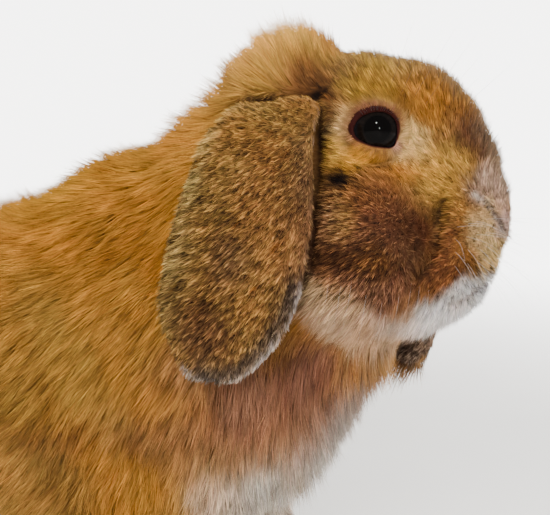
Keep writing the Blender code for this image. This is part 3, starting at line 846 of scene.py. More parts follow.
points = coordinates(skin_mesh)
normals = normals_of(skin_mesh)
head = to_head(points)
body = points / MM
face_share = smooth(-34, -16, head[:, 0]) * (1 - smooth(66, 80, -head[:, 2])) * (1 - skin_ears)
crest_share = (smooth(4, 18, head[:, 2]) * (1 - smooth(-27, -17, head[:, 0]))
               * smooth(-82, -62, head[:, 0]) * (1 - skin_ears))
jaw_share = face_share * smooth(52, 62, -head[:, 2])
cheek_share = face_share * smooth(20, 34, np.abs(head[:, 1])) * smooth(12, 24, -head[:, 2])
pad_share = face_share * smooth(14, 26, head[:, 0]) * smooth(14, 24, -head[:, 2])
nose_share = 1 - smooth(3.5, 7.5, np.linalg.norm((head - (37, 0, -26)) * (1, 0.75, 1), axis=1))
foot_share = (1 - smooth(14, 24, body[:, 2])) * np.maximum(
    smooth(24, 34, np.abs(body[:, 1])), smooth(20, 30, body[:, 0]))
leg_share = (1 - smooth(66, 92, body[:, 2])) * smooth(6, 26, body[:, 0]) * (1 - foot_share)
chest_share = smooth(40, 66, body[:, 0]) * smooth(60, 84, body[:, 2]) * (1 - face_share)
tail_share = smooth(112, 122, -body[:, 0])
belly_share = (1 - smooth(20, 46, body[:, 2])) * (1 - foot_share)
lid_gap = np.full(len(points), 50.0)
lid_way = np.zeros((len(points), 3))
for side in ("right", "left"):
    local = eye_local(points, side)
    gap = np.hypot(local[:, 0], local[:, 1]) - opening_reach(np.arctan2(local[:, 1], local[:, 0]))
    gap = np.where(local[:, 2] > -2, gap, 50)
    nearer = gap < lid_gap
    lid_gap[nearer] = gap[nearer]
    _, frontward, upward = eye_axes(side)
    way = local[:, :1] * frontward + local[:, 1:2] * upward
    lid_way[nearer] = unit(way)[nearer]
lid_share = 1 - smooth(1.5, 9.0, lid_gap)

inner_ear = skin_ears * smooth(0.1, 0.5, -normals[:, 1] * np.sign(head[:, 1]))
ear_tip = skin_ears * (1 - smooth(-78, -66, head[:, 2]))
ear_rim = skin_ears * (1 - smooth(0.35, 0.75, np.abs(normals[:, 1])))
upper_back = smooth(20, 50, -body[:, 0]) * smooth(140, 170, body[:, 2])
bib = patch(np.abs(body), (74, 10, 60), (16, 26, 26))
crest_back = crest_share * (1 - smooth(-52, -34, head[:, 0]))
nape = (smooth(-92, -72, head[:, 0]) * (1 - smooth(-60, -50, head[:, 0])) * smooth(-10, 6, head[:, 2])
        * (1 - skin_ears))

# Each zone's hair, a later one laid over those before: its length and width in millimetres, its
# lift from the hide in degrees, and how many tufts grow on a square millimetre.
COAT_THINNING = 0.96
hair = np.tile((10.0, 0.40, 38.0, 1.9), (len(points), 1))
for share, *zone in (
    (belly_share, 9, 0.50, 36, 1.0), (upper_back, 13, 0.42, 54, 2.0), (chest_share, 13, 0.40, 38, 1.9),
    (leg_share, 7.5, 0.40, 30, 1.8), (bib, 15, 0.40, 52, 2.0), (tail_share, 13, 0.45, 46, 2.0),
    (crest_share, 12.5, 0.34, 42, 3.2), (crest_back, 8.0, 0.36, 32, 2.8), (nape, 12, 0.38, 52, 2.4),
    (face_share, 4.2, 0.28, 42, 5.6), (cheek_share, 3.6, 0.28, 64, 6.2), (jaw_share, 6.5, 0.34, 38, 4.2),
    (pad_share, 2.8, 0.26, 58, 6.8), (lid_share * face_share, 2.6, 0.24, 24, 8.0),
    (nose_share, 1.5, 0.22, 26, 9.0), (foot_share, 4.6, 0.38, 26, 2.4), (skin_ears, 3.0, 0.30, 50, 5.2),
    (inner_ear, 2.6, 0.34, 24, 2.2), (ear_tip, 2.3, 0.30, 38, 5.2), (ear_rim, 1.9, 0.28, 24, 5.2),
    (crease_share, 1.0, 0.26, 18, 4.0),
):
    hair = mix(hair, zone, share)
length, width, lift, density = hair.T.copy()
density = COAT_THINNING * density * (1 - bare_lid)

# How each zone's hair is coloured: the share of dark ticked hairs, how dark the roots are, the
# tips' gain, how much brightness changes from hair to hair and from streak to streak, and how
# fine those streaks are.
tone = np.tile((0.05, 0.30, 1.08, 0.22, 0.22, 0.0), (len(points), 1))
for share, *zone in (
    (face_share, 0.10, 0.42, 1.25, 0.22, 0.14, 0.6), (cheek_share, 0.16, 0.72, 1.8, 0.55, 0.40, 1.0),
    (pad_share, 0.12, 0.64, 1.6, 0.50, 0.40, 1.0), (jaw_share, 0.0, 0.12, 1.0, 0.07, 0.06, 0.3),
    (skin_ears, 0.16, 0.72, 1.7, 0.60, 0.45, 1.0), (crest_share, 0.05, 0.24, 1.05, 0.12, 0.10, 0.2),
    (lid_share * face_share, 0.0, 0.12, 1.0, 0.08, 0.03, 0.3),
):
    tone = mix(tone, zone, share)
ticking, root_shade, tip_gain, speckle, streak, fine_streak = tone.T.copy()

# The way the hair lies: back and down on the body, from the nose over the face, up and back in
# the crest, round the lids and down the ears.
lower_front = smooth(-30, 45, body[:, 0]) * (1 - smooth(150, 185, body[:, 2]))
lower_ear = skin_ears * (1 - smooth(-84, -50, head[:, 2]))
crest_way = to_world(np.tile((-0.80, 0.0, 0.60), (len(points), 1)))
from_nose = unit(head - NOSE_TIP)
from_nose[:, 2] -= 0.45 * cheek_share + 0.25 * jaw_share
flow = np.tile((-0.60, 0.0, -0.85), (len(points), 1))
for share, way in (
    (lower_front, (-0.36, 0.0, -0.95)), (chest_share, (-0.20, 0.0, -1.0)), (leg_share, (-0.10, 0.0, -1.0)),
    (tail_share, (-0.80, 0.0, 0.60)), (foot_share, (1.0, 0.0, -0.25)),
    (np.maximum(face_share, nose_share), to_world(from_nose)), (crest_share, crest_way),
    (lid_share * 0.75 * face_share, lid_way), (skin_ears, (-0.80, 0.0, -0.80)),
    (lower_ear, (-0.45, 0.0, -1.0)),
):
    flow = mix(flow, way, share)
flow = unit(flow - normals * np.sum(flow * normals, axis=1)[:, None])

# The hide's triangles, with their corners, their loops, areas and middles, and its unwrap.
skin_mesh.calc_loop_triangles()
corners, loops = np.zeros((2, len(skin_mesh.loop_triangles) * 3), dtype=np.int32)
skin_mesh.loop_triangles.foreach_get("vertices", corners)
skin_mesh.loop_triangles.foreach_get("loops", loops)
corners, loops = corners.reshape(-1, 3), loops.reshape(-1, 3)
unwrap = np.zeros(len(skin_mesh.loops) * 2)
skin_mesh.uv_layers["OFBake"].uv.foreach_get("vector", unwrap)
unwrap = unwrap.reshape(-1, 2)
edge_a = points[corners[:, 1]] - points[corners[:, 0]]
edge_b = points[corners[:, 2]] - points[corners[:, 0]]
areas = np.linalg.norm(np.cross(edge_a, edge_b), axis=1) / 2 / MM**2
centres = points[corners].mean(axis=1)


def spread(chosen, seed):
    """Roots spread evenly by the coat's density: their triangles, their shares of the corners."""
    rng = np.random.default_rng(seed)
    cell = np.floor(centres[chosen] / MM / SPREAD_CELL).astype(int)
    chosen = chosen[np.lexsort((cell[:, 0], cell[:, 1], cell[:, 2]))]
    wanted = np.cumsum(areas[chosen] * density[corners[chosen]].mean(axis=1))
    marks = np.arange(0.5, wanted[-1])
    marks = marks + rng.uniform(-0.45, 0.45, len(marks))
    triangle = chosen[np.minimum(np.searchsorted(wanted, marks), len(chosen) - 1)]
    a, b = rng.uniform(size=(2, len(triangle)))
    over = a + b > 1
    a[over], b[over] = 1 - a[over], 1 - b[over]
    return triangle, np.column_stack((1 - a - b, a, b)), rng


def pressed(places, ways, stretch):
    """The places pressed together along their common way, so that patterns on them come out long."""
    middle_way = unit(ways.mean(axis=0)[None])[0]
    return places - np.outer(places @ middle_way, middle_way) * (1 - 1 / stretch)


def streaks(places, ways, size, stretch, seed):
    """Waves as wobble makes them, drawn out along each place's way by the stretch."""
    return wobble(pressed(places, ways, stretch), size, seed)


# How far tufts differ from their zone's length and width, the lifts they keep between, how much
# of its own place a drawn tip keeps, how flat a tuft is and how round it is shaded. The waves
# that length, lift, way, streaks and partings follow have seeds of their own.
LENGTHS, WIDTHS, LIFTS = (0.72, 1.15), (0.75, 1.25), (5, 80)
TIP_APART, TUFT_FLATNESS, SHADED_ROUND, TIP_LIGHTS = 0.25, 0.6, 0.75, (0.95, 1.3)
PARTING_FROM, PARTING_TO, TICKED_LIGHT = 1.2, 1.9, 0.4
LENGTH_SEED, LIFT_SEED, WAY_SEED = 31, 32, 33
STREAK_SEED, FINE_STREAK_SEED, PARTING_SEED, FINE_PARTING_SEED = 34, 35, 36, 37


def grow(name, chosen, clump_size, clump_share, draw, finish, seed):
    """One coat piece: tufts on the chosen triangles, joined in a single mesh."""
    triangle, share, rng = spread(chosen, seed)

    def at(values):
        """The values at the roots, between those at their triangles' corners."""
        if values.ndim == 1:
            return np.sum(values[corners[triangle]] * share, axis=1)
        return np.einsum("ijk,ij->ik", values[corners[triangle]], share)

    root, up, along = at(points), unit(at(normals)), unit(at(flow))
    n = len(root)
    long = at(length) * rng.uniform(*LENGTHS, n) * (1 + 0.14 * wobble(root, clump_size * 1.5, LENGTH_SEED))
    wide = at(width) * rng.uniform(*WIDTHS, n)
    raised = at(lift) * (1 + 0.24 * wobble(root, clump_size * 1.2, LIFT_SEED) + 0.14 * rng.normal(size=n))
    turned = np.radians(11 * wobble(root, clump_size * 2, WAY_SEED) + 8 * rng.normal(size=n))
    across = np.cross(up, along)
    along = along * np.cos(turned)[:, None] + across * np.sin(turned)[:, None]
    raised = np.radians(np.clip(raised, *LIFTS))
    tip = root + (long * MM)[:, None] * (along * np.cos(raised)[:, None] + up * np.sin(raised)[:, None])
    tint, spread_out, fine = at(skin_colours), at(speckle), at(fine_streak)
    seeds = rng.choice(n, max(1, int(n * clump_share)), replace=False)
    gathering = pressed(root, along, 1.7)
    search = KDTree(len(seeds))
    for index in seeds:
        search.insert(Vector(gathering[index]), int(index))
    search.balance()
    mate = np.array([search.find(Vector(p))[1] for p in gathering])
    mood = rng.normal(size=n)[mate]
    pull = np.clip(draw * rng.uniform(0.5, 1.2, n) * (0.6 + 0.9 * fine), 0, 0.9)[:, None]
    near = np.linalg.norm(gathering - gathering[mate], axis=1) < clump_size * MM
    pull = pull * near[:, None]
    gathered = tip * (1 - pull) + (tip[mate] + (root - root[mate]) * TIP_APART) * pull
    tip = root + unit(gathered - root) * np.linalg.norm(tip - root, axis=1)[:, None]
    tip[:, 2] = np.maximum(tip[:, 2], LOWEST_HAIR * MM)

    base = root - up * (ROOT_DEPTH * MM)
    base[:, 2] = np.maximum(base[:, 2], LOWEST_HAIR * MM)
    spin = rng.uniform(-0.5, 0.5, n)
    forward = unit(tip - base)
    sideways = unit(np.cross(up, forward))
    upright = np.cross(forward, sideways)
    verts, outs = [], []
    for corner in range(3):
        angle = 2 * math.pi * corner / 3 + math.pi / 2 + spin
        out = sideways * np.cos(angle)[:, None] + upright * (np.sin(angle) * TUFT_FLATNESS)[:, None]
        verts.append(base + out * (0.5 * (wide * MM))[:, None])
        outs.append(out)
    verts = np.stack(verts + [tip], axis=1)
    outs = np.stack(outs + [up * 0.2], axis=1)
    faces = (TUFT_FACES[None] + (np.arange(n) * 4)[:, None, None]).reshape(-1, 3)
    shading = unit((up[:, None] + outs * SHADED_ROUND).reshape(-1, 3))

    lined = (streaks(root, along, 3.6, 3.2, STREAK_SEED) * (1 - fine)
             + streaks(root, along, 1.5, 2.6, FINE_STREAK_SEED) * fine)
    wide_parting = smooth(PARTING_FROM, PARTING_TO, streaks(root, along, 9.0, 2.6, PARTING_SEED))
    fine_parting = smooth(PARTING_FROM, PARTING_TO, streaks(root, along, 4.6, 2.2, FINE_PARTING_SEED))
    parting = wide_parting * 0.35 * (1 - fine) + fine_parting * 0.7 * fine
    brightness = np.exp(spread_out * rng.normal(size=n) - 0.5 * spread_out**2) * (1 + at(streak) * lined)
    brightness = brightness * np.exp((0.13 + 0.40 * fine) * mood - 0.12 * fine)
    tint = tint * np.clip(brightness, 0.15, 3.5)[:, None] * (1 + 0.04 * rng.normal(size=(n, 3)))
    tint = tint * (1 - parting[:, None] * np.array((0.8, 1.0, 1.15)))
    dark = rng.uniform(size=n) < at(ticking)
    tint[dark] *= TICKED_LIGHT
    strong = 1 - tint.min(axis=1) / np.maximum(tint.max(axis=1), 1e-6)
    golden = (fine * strong)[:, None] * np.array((0.0, 0.15, -0.10))
    root_tint = tint * (1 - at(root_shade))[:, None] * (1 - golden)
    tip_tint = tint * (rng.uniform(*TIP_LIGHTS, n) * at(tip_gain))[:, None] * (1 + golden)
    colours = np.stack([root_tint, root_tint, root_tint, tip_tint], axis=1)

    mesh = bpy.data.meshes.new(name)
    mesh.vertices.add(n * 4)
    mesh.vertices.foreach_set("co", verts.reshape(-1))
    mesh.loops.add(len(faces) * 3)
    mesh.loops.foreach_set("vertex_index", faces.reshape(-1))
    mesh.polygons.add(len(faces))
    mesh.polygons.foreach_set("loop_start", np.arange(len(faces)) * 3)
    mesh.update(calc_edges=True)
    colours = np.maximum(colours, 0) / np.maximum(colours.max(axis=2), 1)[:, :, None]
    paint(mesh, "markings", colours.reshape(-1, 3))
    middle_uv = np.einsum("ijk,ij->ik", unwrap[loops[triangle]], share)
    spots = (middle_uv[:, None] + TUFT_PATCH[None]).reshape(-1, 2)
    layer = mesh.uv_layers.new(name="OFBake")
    layer.uv.foreach_set("vector", spots[faces.reshape(-1)].reshape(-1))
    mesh.shade_smooth()
    mesh.normals_split_custom_set_from_vertices(shading)
    mesh.materials.append(finish)
    piece = link(name, mesh)
    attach(piece, "root")
    return piece


fur_finish = grained("fur finish", 700, 0.10, 0.60, 0.90, 0.1 * MM, 0.06)

# The pieces, in order, with the middles that each takes. The head's are parted by its own middle
# line and the body's by the world's. Each has its clumps' size, share of tufts and draw.
head_place, body_place = to_head(centres), centres / MM
on_ear = skin_ears[corners].mean(axis=1) > 0.5
on_face = ~on_ear & (face_share[corners].mean(axis=1) > 0.5)
on_crest = ~on_ear & ~on_face & (head_place[:, 2] > 2) & (head_place[:, 0] > -84)
on_front = ~on_ear & ~on_face & ~on_crest & (body_place[:, 0] > 28)
on_rear = ~on_ear & ~on_face & ~on_crest & ~on_front
head_left_half, body_left_half = head_place[:, 1] > 0, body_place[:, 1] > 0
high, low = body_place[:, 2] > 125, body_place[:, 2] < 62
COAT_ZONES = (
    ("ear", on_ear, head_left_half, 1.6, 0.10, 0.42, "ear_coat"),
    ("face", on_face, head_left_half, 1.4, 0.15, 0.42, "coat"),
    ("crest", on_crest, None, 4.0, 0.055, 0.60, "coat"),
    ("chest", on_front, body_left_half, 3.4, 0.055, 0.68, "white_coat"),
    ("back", on_rear & high, body_left_half, 3.4, 0.055, 0.68, "coat"),
    ("flank", on_rear & ~high & ~low, body_left_half, 3.4, 0.055, 0.68, "coat"),
    ("haunch", on_rear & low, body_left_half, 3.4, 0.055, 0.68, "coat"),
)
seed, SEED_STEP = 7, 100
for name, mask, left_half, clump_size, clump_share, draw, slot in COAT_ZONES:
    halves = [("", mask)]
    if left_half is not None:
        halves = [("_right", mask & ~left_half), ("_left", mask & left_half)]
    for ending, half in halves:
        grow("coat_" + name + ending, np.flatnonzero(half), clump_size, clump_share, draw,
             fur_finish, seed)
        seed += SEED_STEP


# --- Eyes -------------------------------------------------------------------------------------
# Large dark side-facing eyes: a smooth wet ball with a raised cornea, a wide black pupil and a
# very dark brown iris that greys towards its rim. Each sits in the bowl between its lids.
CORNEA_ANGLE, CORNEA_RISE = 46.0, 0.35
PUPIL_ANGLE, IRIS_ANGLE = 30.0, 50.0
EYE_SEGMENTS, EYE_RINGS = 64, 40
PUPIL_COLOUR = np.array((0.0010, 0.0008, 0.0008))
IRIS_GAIN, IRIS_RIM_COLOUR = np.array((0.0040, 0.0026, 0.0020)), np.array((0.0060, 0.0056, 0.0066))
wet_eye, tree, shader = new_finish("wet eye", Roughness=0.04, Specular_IOR_Level=0.05)
marked = add_node(tree, "ShaderNodeAttribute", attribute_name="iris")
connect(tree, (marked, "Color", shader, "Base Color"))
for side in ("right", "left"):
    outward, frontward, upward = eye_axes(side)
    verts, tints = [], []
    rng = np.random.default_rng(11)
    iris_streaks = rng.uniform(0.6, 1.4, EYE_SEGMENTS)
    for ring in range(1, EYE_RINGS):
        angle = 180.0 * ring / EYE_RINGS
        rise = CORNEA_RISE * (1 - smooth(0, CORNEA_ANGLE, angle))
        reach = EYE_RADIUS - 0.05 + rise
        for step in range(EYE_SEGMENTS):
            turn_by = 2 * math.pi * step / EYE_SEGMENTS
            around = frontward * math.cos(turn_by) + upward * math.sin(turn_by)
            way = outward * math.cos(math.radians(angle)) + around * math.sin(math.radians(angle))
            verts.append(np.array(eye_centre[side]) + way * reach * MM)
            iris = smooth(PUPIL_ANGLE - 3, PUPIL_ANGLE + 3, angle) * iris_streaks[step]
            rim = smooth(IRIS_ANGLE - 8, IRIS_ANGLE, angle)
            tints.append((PUPIL_COLOUR + iris * IRIS_GAIN) * (1 - rim) + IRIS_RIM_COLOUR * rim)
    for angle in (0, 180):
        way = outward * math.cos(math.radians(angle))
        verts.append(np.array(eye_centre[side]) + way * (EYE_RADIUS + CORNEA_RISE * (angle == 0)) * MM)
        tints.append(PUPIL_COLOUR)
    faces = []
    for ring in range(EYE_RINGS - 2):
        for step in range(EYE_SEGMENTS):
            after = (step + 1) % EYE_SEGMENTS
            a, b = ring * EYE_SEGMENTS, (ring + 1) * EYE_SEGMENTS
            faces.append((a + step, b + step, b + after, a + after))
    last = (EYE_RINGS - 2) * EYE_SEGMENTS
    for step in range(EYE_SEGMENTS):
        after = (step + 1) % EYE_SEGMENTS
        faces.append((len(verts) - 2, step, after))
        faces.append((len(verts) - 1, last + after, last + step))
    ball = bmesh.new()
    made = [ball.verts.new(v) for v in verts]
    for face in faces:
        ball.faces.new([made[i] for i in face])
    bmesh.ops.recalc_face_normals(ball, faces=ball.faces[:])
    mesh = mesh_of(ball, "eyeball_" + side)
    paint(mesh, "iris", np.array(tints))
    mesh.shade_smooth()
    mesh.materials.append(wet_eye)
    eyeball = link("eyeball_" + side, mesh)
    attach(eyeball, "root")
    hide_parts("eye_" + side)


# --- Claws ------------------------------------------------------------------------------------
# Four horn claws on each foot: blunt, slightly curved and flattened, growing from the toe's end
# out of the fur and dipping to just above the ground.
CLAW_ROOTS = {
    "hind": ((24.7, 43, 8), (27.7, 49, 8.5), (27.7, 55, 8.5), (24.7, 61, 8)),
    "fore": ((69.7, 17, 7.5), (72.7, 22, 8), (72.7, 28, 8), (69.7, 33, 7.5)),
}
CLAW_LENGTH, CLAW_RADIUS, CLAW_TIP_RADIUS, CLAW_FLATNESS = 8.5, 1.5, 0.05, 0.72
CLAW_SINK, CLAW_DROP, CLAW_BEND_FROM, CLAW_BEND_BY = 3.0, 0.62, 8, 42
CLAW_STEPS, CLAW_SIDES = 9, 12
LOWEST_CLAW = 0.3


def ramp(tree, *stops):
    """A change of colour over two stops, each a place and its colour."""
    node = add_node(tree, "ShaderNodeValToRGB")
    for element, (position, colour) in zip(node.color_ramp.elements, stops):
        element.position = position
        element.color = (*colour, 1)
    return node


horn, tree, shader = new_finish("claw horn", Roughness=0.38)
place = add_node(tree, "ShaderNodeTexCoord")
layers = add_node(tree, "ShaderNodeTexNoise", {"Scale": 900, "Detail": 4})
shade = ramp(tree, (0.3, (0.10, 0.065, 0.045)), (0.75, (0.34, 0.26, 0.20)))
grooves = add_node(tree, "ShaderNodeBump", {"Strength": 0.25, "Distance": 0.0002})
connect(tree, (place, "Object", layers, "Vector"), (layers, "Fac", shade, "Fac"),
        (shade, "Color", shader, "Base Color"), (layers, "Fac", grooves, "Height"),
        (grooves, "Normal", shader, "Normal"))
claw_set = bmesh.new()
for roots in CLAW_ROOTS.values():
    for x, y, z in roots:
        for sign in (-1, 1):
            rows = []
            for step in range(CLAW_STEPS):
                share = step / (CLAW_STEPS - 1)
                bend = math.radians(CLAW_BEND_FROM + CLAW_BEND_BY * share)
                at = Vector((x - CLAW_SINK + CLAW_LENGTH * math.sin(bend + 0.6) * share * 0.95,
                             y * sign, z - CLAW_LENGTH * CLAW_DROP * share * share))
                radius = CLAW_RADIUS * (1 - share) ** 0.6 + CLAW_TIP_RADIUS
                row = []
                for corner in range(CLAW_SIDES):
                    angle = 2 * math.pi * corner / CLAW_SIDES
                    spot = at + radius * Vector((
                        math.cos(angle) * math.sin(bend), math.sin(angle) * CLAW_FLATNESS,
                        math.cos(angle) * math.cos(bend)))
                    spot.z = max(spot.z, LOWEST_CLAW)
                    row.append(claw_set.verts.new(spot * MM))
                rows.append(row)
            for near_row, far_row in zip(rows, rows[1:]):
                for corner in range(CLAW_SIDES):
                    after = (corner + 1) % CLAW_SIDES
                    claw_set.faces.new((near_row[corner], near_row[after], far_row[after], far_row[corner]))
            claw_set.faces.new(rows[0])
            claw_set.faces.new(rows[-1])
bmesh.ops.recalc_face_normals(claw_set, faces=claw_set.faces[:])
claw_mesh = mesh_of(claw_set, "claws")
claw_mesh.shade_smooth()
claw_mesh.materials.append(horn)
claws = link("claws", claw_mesh)
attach(claws, "root")


# --- Whiskers, brow hairs and lashes ----------------------------------------------------------
# Long stiff white hairs in rows on each whisker pad, fine ones along the jaw, short dark lashes on
# the upper lid, and brown hairs over each eye and on the forehead. Each is one tapered bristle
# rooted in the hide.
bristle_tree = node_group("bristles", "GeometryNodeTree", (
    ("Lines", "INPUT", "Geometry"), ("Root Thickness", "INPUT", "Float"),
    ("Finish", "INPUT", "Material"), ("Bristles", "OUTPUT", "Geometry"),
))
start, end = add_node(bristle_tree, "NodeGroupInput"), add_node(bristle_tree, "NodeGroupOutput")
curves = add_node(bristle_tree, "GeometryNodeMeshToCurve")
along = add_node(bristle_tree, "GeometryNodeSplineParameter")
taper = add_node(bristle_tree, "ShaderNodeMapRange", {"To Min": 0.5, "To Max": 0.06})
half = add_node(bristle_tree, "ShaderNodeMath", operation="MULTIPLY")
circle = add_node(bristle_tree, "GeometryNodeCurvePrimitiveCircle", {"Resolution": 5, "Radius": 1.0})
tube = add_node(bristle_tree, "GeometryNodeCurveToMesh", {"Fill Caps": True})
realize = add_node(bristle_tree, "GeometryNodeRealizeInstances")
dress = add_node(bristle_tree, "GeometryNodeSetMaterial")
connect(
    bristle_tree, (start, "Lines", curves, "Mesh"), (along, "Factor", taper, "Value"),
    (taper, "Result", half, 0), (start, "Root Thickness", half, 1), (curves, "Curve", tube, "Curve"),
    (circle, "Curve", tube, "Profile Curve"), (half, "Value", tube, "Scale"),
    (tube, "Mesh", realize, "Geometry"), (realize, "Geometry", dress, "Geometry"),
    (start, "Finish", dress, "Material"), (dress, "Geometry", end, "Bristles"),
)
# No bristle reaches further forward than the foremost, in millimetres from the world's middle.
BRISTLE_STEPS, FOREMOST_HAIR = 10, 164


def bristles(name, lines, thickness, finish):
    """A piece of tapered bristles along the lines, each a list of world points from its root."""
    mesh = bpy.data.meshes.new(name + " lines")
    verts = [tuple(p) for line in lines for p in line]
    edges = []
    for number in range(len(lines)):
        first = number * BRISTLE_STEPS
        edges += [(first + step, first + step + 1) for step in range(BRISTLE_STEPS - 1)]
    mesh.from_pydata(verts, edges, [])
    carrier = link(name + " lines", mesh)
    modifier = carrier.modifiers.new("bristles", "NODES")
    modifier.node_group = bristle_tree
    sockets = bristle_tree.interface.items_tree
    modifier[sockets["Root Thickness"].identifier] = thickness
    modifier[sockets["Finish"].identifier] = finish
    bpy.context.view_layer.update()
    evaluated = carrier.evaluated_get(bpy.context.evaluated_depsgraph_get())
    made = bpy.data.meshes.new_from_object(evaluated)
    bpy.data.objects.remove(carrier)
    made.name = name
    made.shade_smooth()
    piece = link(name, made)
    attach(piece, "root")
    return piece


def hair_line(at, way, long, droop, sweep):
    """A bristle's points: rooted on the hide nearest a head place, bending down and back."""
    root = np.array(hide_tree.find_nearest(Vector(from_head(at)))[0])
    way = unit(to_world(np.array([way], float)))[0]
    line = []
    for step in range(BRISTLE_STEPS):
        share = step / (BRISTLE_STEPS - 1)
        bend = to_world(np.array([(-sweep, 0.0, -droop)]))[0] * share * share
        line.append(root + (way * (share * long - 0.8 * (step == 0)) + bend * long) * MM)
    too_far = max(point[0] for point in line) - FOREMOST_HAIR * MM
    if too_far > 0:
        shorter = 1 - too_far / (max(point[0] for point in line) - root[0])
        line = [root + (point - root) * shorter for point in line]
    return line


white_hair = grained("whisker hair", 400, 0.08, 0.25, 0.45, 0.02 * MM, 0.5, (0.80, 0.78, 0.76))
dark_hair = grained("lash hair", 400, 0.20, 0.40, 0.60, 0.02 * MM, 0.3, (0.020, 0.012, 0.009))
WHISKER_ROWS, WHISKERS_IN_ROW, BROW_HAIRS, FINE_HAIRS, LASHES, GUARD_HAIRS = 5, 4, 4, 9, 30, 150
LASH_ANGLES, LASH_OFFSET, LASH_SHELL = (20, 165), 0.35, 9.7
rng = np.random.default_rng(5)
whisker_lines, fine_lines, lash_lines, brow_lines = [], [], [], []
for sign in (-1, 1):
    for row in range(WHISKER_ROWS):
        for place_in_row in range(WHISKERS_IN_ROW):
            share = place_in_row / (WHISKERS_IN_ROW - 1)
            at = (34 - 7 * share, sign * (9 + 8 * share), -28 - 4.2 * row - 2.5 * share)
            way = (0.95 - 0.45 * share + rng.uniform(-0.12, 0.12), sign * (0.60 + rng.uniform(-0.15, 0.15)),
                   0.10 - 0.17 * row + rng.uniform(-0.12, 0.12))
            whisker_lines.append(hair_line(at, way, rng.uniform(17, 32), rng.uniform(0.1, 0.3), 0.12))
    for number in range(BROW_HAIRS):
        at = (15 - 4.0 * number, sign * (17 + number), 10 + 2 * number)
        way = (0.85 - 0.12 * number, sign * 0.35, 0.95)
        brow_lines.append(hair_line(at, way, rng.uniform(20, 30), 0.06, 0.02))
    for number in range(FINE_HAIRS):
        at = (20 - 3.4 * number, sign * (20 + 2 * number), -50 + rng.uniform(-3, 3))
        fine_lines.append(hair_line(at, (0.15, sign * 0.5, -1.0), rng.uniform(9, 14), 0.3, 0.1))
    side = "left" if sign == 1 else "right"
    outward, frontward, upward = eye_axes(side)
    for _ in range(LASHES):
        turn_by = math.radians(rng.uniform(*LASH_ANGLES))
        reach = float(opening_reach(np.array([turn_by]))[0]) + LASH_OFFSET
        around = frontward * math.cos(turn_by) + upward * math.sin(turn_by)
        base = (np.array(eye_centre[side])
                + (around * reach + outward * math.sqrt(max(LASH_SHELL**2 - reach**2, 0))) * MM)
        long = rng.uniform(1.6, 2.8)
        line = []
        for step in range(BRISTLE_STEPS):
            share = step / (BRISTLE_STEPS - 1)
            line.append(base + (outward * (share * 0.8 - 0.12) + around * share * share * 0.8) * long * MM)
        lash_lines.append(line)
bristles("whiskers", whisker_lines, 0.060 * MM, white_hair)
bristles("fine_hairs", fine_lines, 0.040 * MM, white_hair)
bristles("lashes", lash_lines, 0.13 * MM, dark_hair)
for _ in range(GUARD_HAIRS):
    forward, aside = rng.uniform(-8, 36), rng.uniform(-15, 15)
    at = (forward, aside, 26 - max(forward - 6, 0))
    outward = HEAD_AXES @ np.array(hide_tree.find_nearest(Vector(from_head(at)))[1])
    way = tuple(outward + (-0.15, 0, 0.25) + rng.uniform(-0.25, 0.25, 3))
    brow_lines.append(hair_line(at, way, rng.uniform(4.2, 7.0), 0.05, 0.25))
guard_hair = grained("guard hair", 400, 0.25, 0.40, 0.60, 0.02 * MM, 0.3, (0.070, 0.045, 0.030))
bristles("guard_hairs", brow_lines, 0.110 * MM, guard_hair)


# --- Floor and light --------------------------------------------------------------------------
# A pale studio floor that fades into an even pale surround away from the animal, three broad soft
# lamps, and two small ones that only give the wet eye its glints.
FLOOR_HALF, FADE_FROM, FADE_TO = 6.0, 0.25, 1.1
SURROUND_LIGHT, SURROUND_SEEN, SURROUND_COLOUR = 1.0, 6.0, (1.0, 0.985, 0.96, 1)
floor_mesh = bpy.data.meshes.new("floor")
floor_mesh.from_pydata(
    [(-FLOOR_HALF, -FLOOR_HALF, 0), (FLOOR_HALF, -FLOOR_HALF, 0),
     (FLOOR_HALF, FLOOR_HALF, 0), (-FLOOR_HALF, FLOOR_HALF, 0)], [], [(0, 1, 2, 3)])
floor_finish, tree, shader = new_finish("pale floor")
place = add_node(tree, "ShaderNodeTexCoord")
scuffs = add_node(tree, "ShaderNodeTexNoise", {"Scale": 14})
pale = ramp(tree, (0.0, (0.88, 0.87, 0.85)), (1.0, (0.93, 0.92, 0.90)))
worn = add_node(tree, "ShaderNodeMapRange", {"To Min": 0.5, "To Max": 0.75})
far = add_node(tree, "ShaderNodeVectorMath", operation="LENGTH")
fade = add_node(tree, "ShaderNodeMapRange", {"From Min": FADE_FROM, "From Max": FADE_TO},
                interpolation_type="SMOOTHSTEP")
straight = add_node(tree, "ShaderNodeLightPath")
seen = add_node(tree, "ShaderNodeMath", operation="MULTIPLY")
sweep = add_node(tree, "ShaderNodeEmission", {"Color": SURROUND_COLOUR, "Strength": SURROUND_SEEN})
blend = add_node(tree, "ShaderNodeMixShader")
connect(
    tree, (place, "Object", scuffs, "Vector"), (scuffs, "Fac", pale, "Fac"), (scuffs, "Fac", worn, "Value"),
    (pale, "Color", shader, "Base Color"), (worn, "Result", shader, "Roughness"),
    (place, "Object", far, 0), (far, "Value", fade, "Value"), (fade, "Result", seen, 0),
    (straight, "Is Camera Ray", seen, 1), (seen, "Value", blend, "Fac"), (shader, "BSDF", blend, 1),
    (sweep, "Emission", blend, 2), (blend, "Shader", tree.nodes["Material Output"], "Surface"),
)
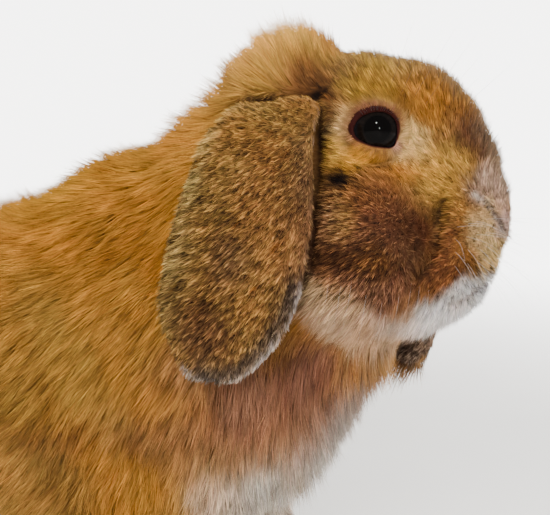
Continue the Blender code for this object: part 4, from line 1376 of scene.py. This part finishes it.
floor_mesh.materials.append(floor_finish)
link("floor", floor_mesh)


def lamp(name, at, aim, size, energy, colour):
    """A square soft lamp at a place, turned to its aim."""
    light = bpy.data.lights.new(name, "AREA")
    light.size = size
    light.energy = energy
    light.color = colour
    placed = bpy.data.objects.new(name, light)
    placed.location = at
    placed.rotation_euler = (Vector(aim) - Vector(at)).to_track_quat("-Z", "Y").to_euler()
    bpy.context.scene.collection.objects.link(placed)
    return placed


lamp("key", (0.00, 0.45, 1.30), (0.02, -0.02, 0.13), 0.9, 16.5, (1.0, 0.95, 0.88))
lamp("window", (0.95, 0.60, 0.50), (0.12, -0.01, 0.15), 0.6, 12, (0.90, 0.95, 1.0))
fill = lamp("fill", (0.05, -1.00, 0.70), (0.06, -0.02, 0.13), 0.7, 15, (1.0, 0.95, 0.88))
fill.visible_glossy = False
# The glints' places on the near eye, right and up of its middle in millimetres: each lamp stands
# where the wet ball mirrors it to the camera from there.
GLINTS = ((0.35, 2.65), (1.65, 0.70))
GLINT_DISTANCE, GLINT_SIZE, GLINT_POWER = 0.8, 0.05, 9.0
near_eye = eye_centre["right"]
for number, (right_by, up_by) in enumerate(GLINTS):
    towards = (camera.location - near_eye).normalized()
    normal = (view_right * right_by + view_up * up_by
              + towards * math.sqrt(EYE_RADIUS**2 - right_by**2 - up_by**2)).normalized()
    mirror = normal * (2 * normal.dot(towards)) - towards
    glint = lamp(f"glint_{number}", near_eye + mirror * GLINT_DISTANCE, near_eye, GLINT_SIZE, GLINT_POWER,
                 (1.0, 0.97, 0.93))
    glint.visible_diffuse = False
surround = bpy.data.worlds.new("surround")
bpy.context.scene.world = surround
surround.use_nodes = True
tree = surround.node_tree
background = tree.nodes["Background"]
background.inputs["Color"].default_value = SURROUND_COLOUR
straight = add_node(tree, "ShaderNodeLightPath")
bright = add_node(tree, "ShaderNodeMapRange", {"To Min": SURROUND_LIGHT, "To Max": SURROUND_SEEN})
connect(tree, (straight, "Is Camera Ray", bright, "Value"), (bright, "Result", background, "Strength"))
